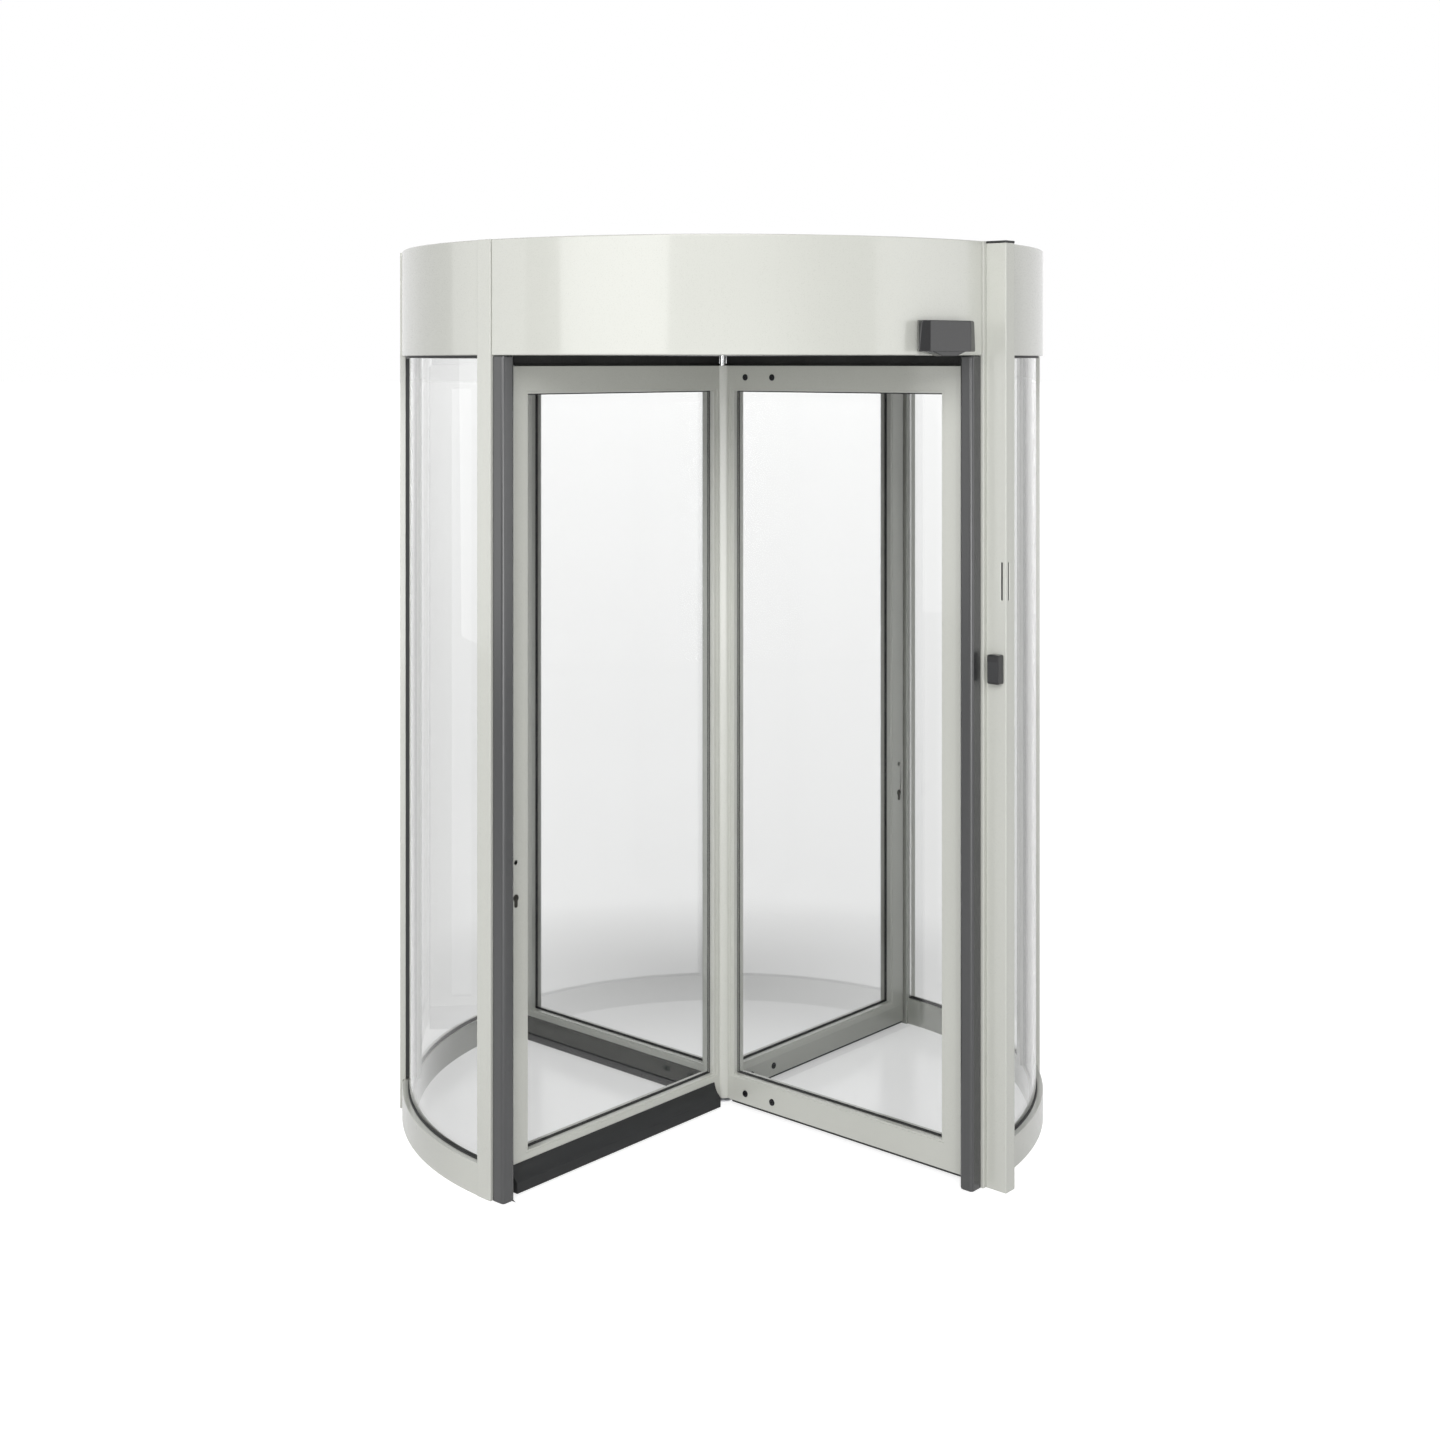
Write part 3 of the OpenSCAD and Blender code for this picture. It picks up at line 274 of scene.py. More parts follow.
class SurfaceEffects:
    """The shader groups that several finishes share, each built once."""

    def __init__(self) -> None:
        """Build every group."""
        self.peel = self._skin("sprayed_peel", 420.0, (2.3, 3.0))
        self.grain = self._skin("moulded_grain", 1400.0, (9.0, 4.0))
        self.drawn = self._skin("drawn_lines", 1.0, (14.0, 3.0), Stretch=(900.0, 900.0, 12.0))
        self.dust = self._dust()

    def _skin(self, name: str, scale: float, cloud: Span, **more: object) -> NodeTree:
        """Build a skin, with a tone that follows a broad noise and a fine relief.

        Args:
            name: The group's name, which also picks the fine pattern.
            scale: Scale of the fine pattern.
            cloud: Scale and detail of the broad noise.
            more: Further inputs.

        Returns:
            The group.
        """
        inputs = {"Tone": (0.5, 0.5, 0.5, 1.0), "Scale": scale, "Shift": 0.04, "Rough": 0.3, "Scatter": 0.05}
        outputs = {"Color": "NodeSocketColor", "Roughness": "NodeSocketFloat", "Height": "NodeSocketFloat"}
        graph, source, sink = new_group(name, "ShaderNodeTree", inputs | more, outputs)
        feeds, place = source.outputs, graph.object_place()
        fine = self._fine(name, graph, feeds, place)
        value = graph.sum(graph.calc("SUBTRACT", graph.noise(place, *cloud), 0.5), feeds["Shift"], 1.0)
        tone = graph.add("ShaderNodeHueSaturation", {"Color": feeds["Tone"], "Value": value})
        rough = graph.sum(graph.calc("SUBTRACT", fine, 0.5), feeds["Scatter"], feeds["Rough"])
        for key, result in (("Color", tone.outputs["Color"]), ("Roughness", rough), ("Height", fine)):
            graph.feed(sink.inputs[key], result)
        return graph.tree

    def _fine(self, name: str, graph: Graph, feeds: dict[str, NodeSocket], place: NodeSocket) -> Node:
        """Build pebbles, lines where Stretch is small, or soft waves of orange peel.

        Args:
            name: The group's name.
            graph: Its graph.
            feeds: Its inputs.
            place: The point on the surface.

        Returns:
            The node whose output is the pattern.
        """
        if name == "moulded_grain":
            cells = graph.add("ShaderNodeTexVoronoi", {"Vector": place, "Scale": feeds["Scale"]})
            return graph.ramp(cells.outputs["Distance"], (0.05, 0.75))
        if name == "drawn_lines":
            return graph.noise(graph.vector("MULTIPLY", place, feeds["Stretch"]), feeds["Scale"], 3.0)
        return graph.noise(place, feeds["Scale"], 1.0)

    def _dust(self) -> NodeTree:
        """Build the mask of fine dust: most near the floor and on faces that look up.

        Returns:
            The group.
        """
        inputs = {"Reach": 0.12, "Amount": 0.2}
        graph, source, sink = new_group("floor_dust", "ShaderNodeTree", inputs, {"Mask": "NodeSocketFloat"})
        place = graph.object_place()
        height = graph.add("ShaderNodeSeparateXYZ", {0: place}).outputs["Z"]
        low = graph.ramp(height, (0.0, source.outputs["Reach"]), (1.0, 0.0))
        normal = graph.add("ShaderNodeNewGeometry").outputs["Normal"]
        up = graph.ramp(graph.add("ShaderNodeSeparateXYZ", {0: normal}).outputs["Z"], (0.6, 1.0), (0.0, 0.6))
        cloud = graph.ramp(graph.noise(place, 55.0, 4.0), (0.3, 0.75))
        mask = graph.product(graph.product(graph.calc("MAXIMUM", low, up), cloud), source.outputs["Amount"])
        graph.feed(sink.inputs["Mask"], mask)
        return graph.tree


EFFECTS = SurfaceEffects()


# Finishes


MADE: dict[str, Material] = {}


@dataclass(frozen=True)
class Finish:
    """A finish that can be made into a material.

    Attributes:
        name: The material's name.
        tone: Linear base colour.
        rough: Mean roughness.
        scatter: How far the roughness strays from its mean.
        shift: How far the tone strays over the piece.
        relief: Height of the surface's relief.
        scale: Scale of the relief's pattern.
        dust: Amount of dust near the floor.
    """

    name: str
    tone: Colour
    rough: float = 0.4
    scatter: float = 0.06
    shift: float = 0.04
    relief: float = 0.00002
    scale: float = 600.0
    dust: float = 0.0

    PATTERN = "grain"

    def pattern_feeds(self) -> dict[str, object]:
        """Inputs of the pattern."""
        return {"Tone": self.tone, "Scale": self.scale, "Shift": self.shift, "Rough": self.rough,
                "Scatter": self.scatter}

    def extras(self) -> dict[str, float]:
        """Shader inputs that only this kind of finish sets."""
        return {}

    def surface(self, graph: Graph, shader: Node) -> Node:
        """Return the node that the surface shows."""
        return shader

    def material(self) -> Material:
        """Make the finish's material on the first call.

        Returns:
            The material.
        """
        if self.name in MADE:
            return MADE[self.name]
        made = MADE[self.name] = bpy.data.materials.new(self.name)
        made.diffuse_color = self.tone
        graph = blank_graph(made)
        skin = graph.add("ShaderNodeGroup", self.pattern_feeds(), node_tree=getattr(EFFECTS, self.PATTERN))
        colour, rough = skin.outputs["Color"], skin.outputs["Roughness"]
        if self.dust:
            mask = graph.add("ShaderNodeGroup", {"Amount": self.dust}, node_tree=EFFECTS.dust)
            colour = graph.blend(mask, colour, DUST_TONE)
            rough = graph.sum(mask, 0.5, rough)
        bump = graph.add("ShaderNodeBump", {"Height": skin.outputs["Height"], "Distance": self.relief})
        feeds = {"Base Color": colour, "Roughness": rough, "Normal": bump.outputs["Normal"]}
        shader = graph.add("ShaderNodeBsdfPrincipled", feeds | self.extras())
        graph.add("ShaderNodeOutputMaterial", {"Surface": self.surface(graph, shader)})
        return made


@dataclass(frozen=True)
class Glossy(Finish):
    """A finish with a clear gloss on top, such as moulded plastic."""

    gloss: float = 0.8
    gloss_rough: float = 0.09

    def extras(self) -> dict[str, float]:
        """The clear gloss."""
        return {"Coat Weight": self.gloss, "Coat Roughness": self.gloss_rough}


@dataclass(frozen=True)
class SprayedCoat(Glossy):
    """Powder or lacquer coat on metal, with orange peel."""

    PATTERN = "peel"


@dataclass(frozen=True)
class Rubber(Finish):
    """Matt rubber or soft plastic extrusion."""

    specular: float = 0.4

    def extras(self) -> dict[str, float]:
        """The weak shine of rubber."""
        return {"Specular IOR Level": self.specular}


@dataclass(frozen=True)
class BareMetal(Finish):
    """Turned, drawn or polished metal with fine lines."""

    rough: float = 0.36
    scatter: float = 0.12
    relief: float = 0.000006
    scale: float = 1.0
    stretch: Triple = (900.0, 900.0, 14.0)

    PATTERN = "drawn"

    def pattern_feeds(self) -> dict[str, object]:
        """Add the direction of the lines."""
        return super().pattern_feeds() | {"Stretch": self.stretch}

    def extras(self) -> dict[str, float]:
        """Make it a metal."""
        return {"Metallic": 1.0}


@dataclass(frozen=True)
class Glazing(Finish):
    """Clear laminated glass with roller waves as faint as peel.

    Attributes:
        index: Refractive index.
        coat: Weight of the surface's own reflection, where the index is lowered for a thin pane.
        shade: Colour of the light that a lamp sends through it.
    """

    rough: float = 0.0
    shift: float = 0.01
    index: float = 1.5
    coat: float = 0.0
    shade: Colour = (0.52, 0.53, 0.53, 1)

    PATTERN = "peel"

    def extras(self) -> dict[str, float]:
        """Make it see-through, and keep it free of haze."""
        return {"Transmission Weight": 1.0, "IOR": self.index, "Roughness": self.rough,
                "Coat Weight": self.coat, "Coat Roughness": 0.0}

    def surface(self, graph: Graph, shader: Node) -> Node:
        """Let the lamps' rays pass.

        Args:
            graph: The material's graph.
            shader: The glass.

        Returns:
            The node that the surface shows.
        """
        clear = graph.add("ShaderNodeBsdfTransparent", {0: self.shade})
        shadow = graph.add("ShaderNodeLightPath").outputs["Is Shadow Ray"]
        return graph.add("ShaderNodeMixShader", {0: shadow, 1: shader, 2: clear})


DUST_TONE: Colour = (0.62, 0.61, 0.58, 1)
BUMPER_RUBBER = Rubber("bumper_rubber", (0.026, 0.027, 0.028, 1), 0.5, shift=0.08, relief=0.00001,
                       scale=900.0, specular=0.3)
FINISHES: dict[Slot, Finish] = {
    Slot.POWDER_COAT: SprayedCoat("warm_grey_powder_coat", (0.650, 0.658, 0.608, 1), 0.28, 0.05, 0.035,
                                  relief=0.000012, scale=420.0, dust=0.10),
    Slot.CEILING_COAT: SprayedCoat("ceiling_powder_coat", (0.52, 0.53, 0.49, 1), 0.38, gloss=0.3),
    Slot.ROOF_COAT: SprayedCoat("roof_powder_coat", (0.60, 0.61, 0.57, 1), dust=0.45, gloss=0.25),
    Slot.WALL_GLASS: Glazing("laminated_wall_glass", (0.965, 0.968, 0.966, 1), relief=0.0000004,
                             scale=14.0, index=1.15, coat=0.8),
    Slot.WING_GLASS: Glazing("laminated_wing_glass", (0.980, 0.983, 0.981, 1), relief=0.0000003, scale=11.0),
    Slot.GASKET_RUBBER: Rubber("glazing_rubber", (0.045, 0.046, 0.046, 1), 0.55, shift=0.25, scale=1100.0),
    Slot.EDGE_RUBBER: Rubber("safety_edge_rubber", (0.042, 0.043, 0.045, 1), 0.24, 0.03, 0.06,
                             relief=0.00001, scale=900.0, specular=1.0),
    Slot.BRISTLE: Rubber("brush_bristle", (0.026, 0.026, 0.026, 1), 0.6, shift=0.9, scale=300.0),
    Slot.DARK_PLASTIC: Glossy("dark_moulded_plastic", (0.013, 0.013, 0.014, 1), 0.28, shift=0.12,
                              relief=0.000006, scale=1600.0, gloss=0.5, gloss_rough=0.08),
    Slot.SHAFT_STEEL: BareMetal("polished_shaft_steel", (0.86, 0.87, 0.88, 1), 0.10, 0.05,
                                relief=0.000001, stretch=(40.0, 40.0, 1800.0)),
    Slot.MACHINED_STEEL: BareMetal("ground_machined_steel", (0.56, 0.57, 0.59, 1), 0.32, 0.14),
    Slot.FRAME_STEEL: SprayedCoat("primed_frame_steel", (0.30, 0.31, 0.33, 1), 0.55, dust=0.2, gloss=0.05),
    Slot.DRIVE_ALLOY: BareMetal("cast_drive_alloy", (0.42, 0.43, 0.45, 1), 0.55, 0.2, relief=0.00005,
                                stretch=(700.0, 700.0, 700.0)),
    Slot.BOX_COAT: SprayedCoat("control_box_coat", (0.20, 0.21, 0.23, 1), 0.45, dust=0.2, gloss=0.2),
    Slot.SCREW_STEEL: BareMetal("black_oxide_steel", (0.050, 0.050, 0.054, 1), relief=0.000008),
    Slot.LOCK_BRASS: BareMetal("burnished_lock_brass", (0.060, 0.058, 0.052, 1), 0.34, relief=0.000004,
                               stretch=(700.0, 700.0, 60.0)),
    Slot.LOCK_STEEL: BareMetal("zinc_plated_steel", (0.55, 0.56, 0.57, 1), scatter=0.16),
}


# Meshes and swept shapes


def link_object(name: str, data: ID) -> Object:
    """Put data into the scene as a new object at the origin.

    Args:
        name: The object's name.
        data: Its mesh, lamp or camera.

    Returns:
        The object.
    """
    made = bpy.data.objects.new(name, data)
    bpy.context.scene.collection.objects.link(made)
    return made


def remove(item: Object) -> None:
    """Remove an object together with its mesh.

    Args:
        item: The object.
    """
    mesh = item.data
    bpy.data.objects.remove(item)
    bpy.data.meshes.remove(mesh)


def mesh_of(name: str, bm: BMesh, smooth_deg: float = 35.0) -> Mesh:
    """Turn a bmesh into a mesh with outward normals.

    Args:
        name: The mesh's name.
        bm: The bmesh, which is freed.
        smooth_deg: Angle above which an edge is sharp.

    Returns:
        The mesh.
    """
    bmesh.ops.recalc_face_normals(bm, faces=bm.faces)
    mesh = bpy.data.meshes.new(name)
    bm.to_mesh(mesh)
    bm.free()
    mesh.shade_smooth()
    mesh.set_sharp_from_angle(angle=math.radians(smooth_deg))
    return mesh


def evaluated(carrier: Object, name: str) -> Mesh:
    """Carry out a carrier's modifiers, and remove the carrier.

    Args:
        carrier: An object with modifiers.
        name: The new mesh's name.

    Returns:
        A plain mesh.
    """
    bpy.context.view_layer.update()
    graph = bpy.context.evaluated_depsgraph_get()
    mesh = bpy.data.meshes.new_from_object(carrier.evaluated_get(graph), depsgraph=graph)
    remove(carrier)
    mesh.name = name
    return mesh


def add_flat_faces(carrier: Object) -> None:
    """Weight a carrier's normals by face area, so that large faces shade flat up to their round edges."""
    weighted = carrier.modifiers.new("flat_faces", "WEIGHTED_NORMAL")
    weighted.keep_sharp = True


def bevelled(name: str, mesh: Mesh, width: float, segments: int = 2, sharp_deg: float = 38.0) -> Mesh:
    """Round a mesh's edges and keep its large faces flat.

    Args:
        name: The new mesh's name.
        mesh: The sharp mesh, which is removed.
        width: Width of the rounding.
        segments: Steps in it.
        sharp_deg: Edges flatter than this stay as they are.

    Returns:
        The rounded mesh.
    """
    carrier = link_object(mesh.name, mesh)
    bevel = carrier.modifiers.new("edge_radius", "BEVEL")
    bevel.width = width
    bevel.segments = segments
    bevel.limit_method = "ANGLE"
    bevel.angle_limit = math.radians(sharp_deg)
    bevel.use_clamp_overlap = False
    add_flat_faces(carrier)
    return evaluated(carrier, name)


def merged(name: str, meshes: list[Mesh], smooth_deg: float = 35.0) -> Mesh:
    """Join meshes, merge doubles, turn the normals outwards and shade large faces flat.

    Args:
        name: The new mesh's name.
        meshes: The meshes, which are removed.
        smooth_deg: Angle above which an edge is sharp.

    Returns:
        The joined mesh.
    """
    bm = bmesh.new()
    for mesh in meshes:
        bm.from_mesh(mesh)
        bpy.data.meshes.remove(mesh)
    bmesh.ops.remove_doubles(bm, verts=bm.verts, dist=SAME_POINT)
    carrier = link_object(name + "_joined", mesh_of(name + "_joined", bm, smooth_deg))
    add_flat_faces(carrier)
    return evaluated(carrier, name)


def rounded(corners: Sequence[Triple], steps: int = 4) -> Outline:
    """Round the corners of an outline.

    Args:
        corners: Points with the radius of each corner, 0 for a sharp one.
        steps: Segments in each round corner.

    Returns:
        The outline's points.
    """
    points: Outline = []
    for index, (x, y, radius) in enumerate(corners):
        here = Vector((x, y))
        if radius <= 0:
            points.append((x, y))
            continue
        back = (Vector(corners[index - 1][:2]) - here).normalized()
        ahead = (Vector(corners[(index + 1) % len(corners)][:2]) - here).normalized()
        half = back.angle(ahead) / 2
        centre = here + (back + ahead).normalized() * (radius / math.sin(half))
        start = here + back * (radius / math.tan(half)) - centre
        end = here + ahead * (radius / math.tan(half)) - centre
        sweep = start.angle_signed(end)
        for step in range(steps + 1):
            turned = start.copy()
            turned.rotate(Matrix.Rotation(-sweep * step / steps, 2))
            points.append(tuple(centre + turned))
    return points


def both_sides(half: Outline, across: Span) -> Outline:
    """Complete an outline from its first half, which is mirrored by the factors of x and y."""
    return half + [(x * across[0], y * across[1]) for x, y in reversed(half)]


def block(x0: float, x1: float, y0: float, y1: float, radius: float = 0.0) -> list[Triple]:
    """Corners of a rectangle, all with the same radius."""
    return [(x0, y0, radius), (x1, y0, radius), (x1, y1, radius), (x0, y1, radius)]


def join_loops(bm: BMesh, first: list[BMVert], second: list[BMVert]) -> None:
    """Close the strip between two loops of vertices.

    Args:
        bm: The mesh that they are in.
        first: One loop.
        second: The other, of the same length.
    """
    for k in range(len(first)):
        after = (k + 1) % len(first)
        bm.faces.new((first[k], first[after], second[after], second[k]))


def add_prism(bm: BMesh, outline: Outline, low: float, high: float, place: Matrix) -> None:
    """Add a closed prism.

    Args:
        bm: The mesh that it goes into.
        outline: Its section, in the place's X and Y.
        low: Where it starts along the place's Z.
        high: Where it ends.
        place: Frame of the section.
    """
    rings = [[bm.verts.new(place @ Vector((x, y, z))) for x, y in outline] for z in (low, high)]
    bm.faces.new(rings[0])
    bm.faces.new(rings[1])
    join_loops(bm, *rings)


def add_ring(bm: BMesh, outer: Edges, inner: Edges, low: float, high: float, place: Matrix) -> None:
    """Add a closed rectangular ring.

    Args:
        bm: The mesh that it goes into.
        outer: Its outer edges, as x0, x1, y0, y1 in the place's frame.
        inner: Its inner edges.
        low: Where it starts along the place's Z.
        high: Where it ends.
        place: Frame of the ring.
    """
    loops = [[bm.verts.new(place @ Vector((x, y, z))) for x, y, _ in block(*edges)]
             for edges, z in ((outer, low), (outer, high), (inner, high), (inner, low))]
    for first, second in zip(loops, loops[1:] + loops[:1]):
        join_loops(bm, first, second)


# Frames for prisms: a section in Y and Z that runs along X, and one in X and Z that runs along Y
ALONG_X = Matrix(((0, 0, 1, 0), (1, 0, 0, 0), (0, 1, 0, 0), (0, 0, 0, 1)))
UPRIGHT = Matrix(((1, 0, 0, 0), (0, 0, 1, 0), (0, 1, 0, 0), (0, 0, 0, 1)))


def coat(item: Object, finish: Finish) -> None:
    """Make a finish the object's only material."""
    item.data.materials.clear()
    item.data.materials.append(finish.material())


def place_mesh(mesh: Mesh, body: Body, slot: Slot, nodes: Sequence[str] = (),
               finish: Finish | None = None) -> None:
    """Put a mesh into the scene, give it its finish and attach it to its body.

    Args:
        mesh: The mesh of the piece, whose name it gets.
        body: The body that carries it.
        slot: Its slot in the record.
        nodes: The nodes that it stands for.
        finish: Its finish, where it isn't the slot's.
    """
    piece = link_object(mesh.name, mesh)
    coat(piece, finish or FINISHES[slot])
    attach(piece, body.value)
    if nodes:
        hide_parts(*nodes)
    LOG.info("piece %s on %s: %d faces, %s", piece.name, body.value, len(piece.data.polygons), slot.value)


@dataclass(frozen=True)
class EdgeWork:
    """Small radii along the edges of a solid part.

    Attributes:
        width: Width of the rounding.
        segments: Steps in it.
        sharp_deg: Edges flatter than this stay as they are.
        WELD: Distance within which a node's vertices are merged.
        FLAT_DEG: Angle under which neighbouring faces become one.
        CREASE_DEG: Angle above which an edge stays sharp.
    """

    width: float = 0.0012
    segments: int = 2
    sharp_deg: float = 38.0

    WELD = 0.00002
    FLAT_DEG = 0.15
    CREASE_DEG = 50.0

    def carry_out(self, body: Body, slot: Slot, *nodes: str, finish: Finish | None = None) -> None:
        """Put copies with rounded edges in the places of nodes.

        Args:
            body: The body that carries them.
            slot: Their slot in the record.
            nodes: The nodes that they stand for.
            finish: Their finish, where it isn't the slot's.
        """
        flat = math.radians(self.FLAT_DEG)
        for node in nodes:
            bm = bmesh.new()
            bm.from_mesh(frame["nodes"][node].data)
            bmesh.ops.remove_doubles(bm, verts=bm.verts, dist=self.WELD)
            bmesh.ops.dissolve_limit(bm, angle_limit=flat, verts=bm.verts, edges=bm.edges)
            for layer in list(bm.loops.layers.uv):
                bm.loops.layers.uv.remove(layer)
            raw = mesh_of(node + "_raw", bm, self.CREASE_DEG)
            spare = raw.attributes.get("custom_normal")
            if spare:
                raw.attributes.remove(spare)
            mesh = bevelled(node + "_finished", raw, self.width, self.segments, self.sharp_deg)
            place_mesh(mesh, body, slot, (node,), finish)


class GeometryRule:
    """A Geometry Nodes tree with named inputs, used for one kind of piece.

    Attributes:
        NAME: The tree's name.
        INPUTS: Input name to its first value or its socket type.
    """

    NAME = ""
    INPUTS: dict[str, object] = {}

    def __init__(self) -> None:
        """Build the tree, which ends in plain geometry with its material."""
        inputs = {"Geometry": "NodeSocketGeometry", **self.INPUTS, "Material": "NodeSocketMaterial"}
        self.graph, self.source, sink = new_group(
            self.NAME, "GeometryNodeTree", inputs, {"Geometry": "NodeSocketGeometry"})
        plain = self.graph.add("GeometryNodeRealizeInstances", {0: self.rule()})
        coated = self.graph.add("GeometryNodeSetMaterial", {
            "Geometry": plain, "Material": self.source.outputs["Material"]})
        self.graph.feed(sink.inputs[0], coated)

    def rule(self) -> Node:
        """Build the tree and return its last node."""
        raise NotImplementedError

    def grow(self, name: str, slot: Slot, seed_mesh: Mesh | None = None, **values: object) -> Mesh:
        """Run the tree once.

        Args:
            name: Name of the mesh.
            slot: The slot whose finish it gets.
            seed_mesh: Mesh of the carrier, where the rule starts from one.
            values: The tree's inputs by name.

        Returns:
            A plain mesh.
        """
        carrier = link_object(name + "_carrier", seed_mesh or bpy.data.meshes.new(name + "_carrier"))
        modifier = carrier.modifiers.new(self.NAME, "NODES")
        modifier.node_group = self.graph.tree
        values["Material"] = FINISHES[slot].material()
        for item in self.graph.tree.interface.items_tree:
            if item.in_out == "INPUT" and item.name in values:
                modifier[item.identifier] = values.pop(item.name)
        if values:
            raise KeyError(f"{self.NAME} has no input {sorted(values)}")
        return evaluated(carrier, name)


class DrumSweep(GeometryRule):
    """Sweeps a section, drawn in radius and height, along part of the drum's circle."""

    NAME = "drum_sweep"
    INPUTS = {"Section": "NodeSocketObject", "Radius": 0.9, "Start": 0.0, "Sweep": 1.0, "Segments": 96}

    def rule(self) -> Node:
        """Build an arc that carries the section.

        Returns:
            The last node.
        """
        inputs = self.source.outputs
        arc = self.graph.add("GeometryNodeCurveArc", {
            "Resolution": inputs["Segments"], "Radius": inputs["Radius"],
            "Start Angle": inputs["Start"], "Sweep Angle": inputs["Sweep"]}, mode="RADIUS")
        section = self.graph.add("GeometryNodeObjectInfo", {"Object": inputs["Section"]})
        outline = self.graph.add("GeometryNodeMeshToCurve", {0: section.outputs["Geometry"]})
        return self.graph.add("GeometryNodeCurveToMesh", {
            "Curve": arc, "Profile Curve": outline, "Fill Caps": True})

    def sweep(self, name: str, slot: Slot, section: Outline, span: Span, segments: int = 96) -> Mesh:
        """Sweep a section along the drum's circle.

        Args:
            name: Name of the mesh.
            slot: The slot whose finish it gets.
            section: Points of radius and height.
            span: Angles in degrees at which it starts and ends.
            segments: Vertices along the arc.

        Returns:
            The swept mesh.
        """
        radius = max(r for r, _ in section)
        mesh = bpy.data.meshes.new(name + "_section")
        count = len(section)
        edges = [(i, (i + 1) % count) for i in range(count)]
        mesh.from_pydata([(r - radius, -z, 0) for r, z in section], edges, [])
        holder = link_object(name + "_section", mesh)
        swept = self.grow(name, slot, Section=holder, Radius=radius, Start=math.radians(span[0]),
                          Sweep=math.radians(span[1] - span[0]), Segments=segments)
        remove(holder)
        return swept


class BristleRow(GeometryRule):
    """A row of bristles, each with its own lean, length and place."""

    NAME = "bristle_row"
    INPUTS = {"Count": 900, "Start": (0.0, 0.0, 0.0), "Step": (0.001, 0.0, 0.0),
              "Spread": (0.0004, 0.0018, 0.0), "Length": 0.02, "Thickness": 0.0004, "Lean": 0.05, "Seed": 7}

    def rule(self) -> Node:
        """Build thin tapered stems on a scattered line.

        Returns:
            The last node.
        """
        graph, inputs = self.graph, self.source.outputs
        line = graph.add("GeometryNodeMeshLine", {
            "Count": inputs["Count"], "Start Location": inputs["Start"], "Offset": inputs["Step"]})
        negative = graph.add("ShaderNodeVectorMath", {0: inputs["Spread"], "Scale": -1.0}, operation="SCALE")
        stray = graph.add("FunctionNodeRandomValue", {
            0: negative, 1: inputs["Spread"], "Seed": inputs["Seed"]}, data_type="FLOAT_VECTOR")
        points = graph.add("GeometryNodeSetPosition", {"Geometry": line, "Offset": stray})
        stem = graph.add("GeometryNodeMeshCone", {
            "Vertices": 4, "Radius Top": graph.product(inputs["Thickness"], 0.35),
            "Radius Bottom": inputs["Thickness"], "Depth": inputs["Length"]}, fill_type="NGON")
        seed = graph.calc("ADD", inputs["Seed"], 11.0)
        back = graph.sum(inputs["Lean"], -1.0, 0.0)
        least = graph.add("ShaderNodeCombineXYZ", {0: back, 1: back, 2: 0.0})
        most = graph.add("ShaderNodeCombineXYZ", {0: inputs["Lean"], 1: inputs["Lean"], 2: 3.0})
        lean = graph.add("FunctionNodeRandomValue", {0: least, 1: most, "Seed": seed},
                         data_type="FLOAT_VECTOR")
        size = graph.add("FunctionNodeRandomValue", {2: 0.94, 3: 1.0, "Seed": seed}, data_type="FLOAT")
        return graph.add("GeometryNodeInstanceOnPoints", {
            "Points": points, "Instance": stem, "Rotation": lean, "Scale": size.outputs[1]})


class Repeater(GeometryRule):
    """Places one object on each vertex of a carrier, with its Z along the vertex's aim."""

    NAME = "repeat_on_points"
    INPUTS = {"Item": "NodeSocketObject"}

    def rule(self) -> Node:
        """Build turned instances on the carrier's vertices.

        Returns:
            The last node.
        """
        graph = self.graph
        aim = graph.add("GeometryNodeInputNamedAttribute", {"Name": "aim"}, data_type="FLOAT_VECTOR")
        turn = graph.add("FunctionNodeAlignRotationToVector", {"Vector": aim}, axis="Z")
        item = graph.add("GeometryNodeObjectInfo", {
            "Object": self.source.outputs["Item"], "As Instance": True})
        return graph.add("GeometryNodeInstanceOnPoints", {
            "Points": self.source.outputs["Geometry"], "Instance": item.outputs["Geometry"],
            "Rotation": turn})

    def repeat(self, name: str, slot: Slot, item: Mesh, places: Sequence[tuple[Vector, Vector]]) -> Mesh:
        """Repeat a mesh.

        Args:
            name: Name of the new mesh.
            slot: The slot whose finish it gets.
            item: The mesh to repeat, which is removed.
            places: Point and aim of each copy.

        Returns:
            All copies as one mesh.
        """
        holder = link_object(name + "_item", item)
        seeds = bpy.data.meshes.new(name + "_places")
        seeds.from_pydata([tuple(point) for point, _ in places], [], [])
        aims = seeds.attributes.new("aim", "FLOAT_VECTOR", "POINT")
        for entry, (_, aim) in zip(aims.data, places):
            entry.vector = aim
        mesh = self.grow(name, slot, seeds, Item=holder)
        remove(holder)
        return merged(name, [mesh])


# The fixed drum


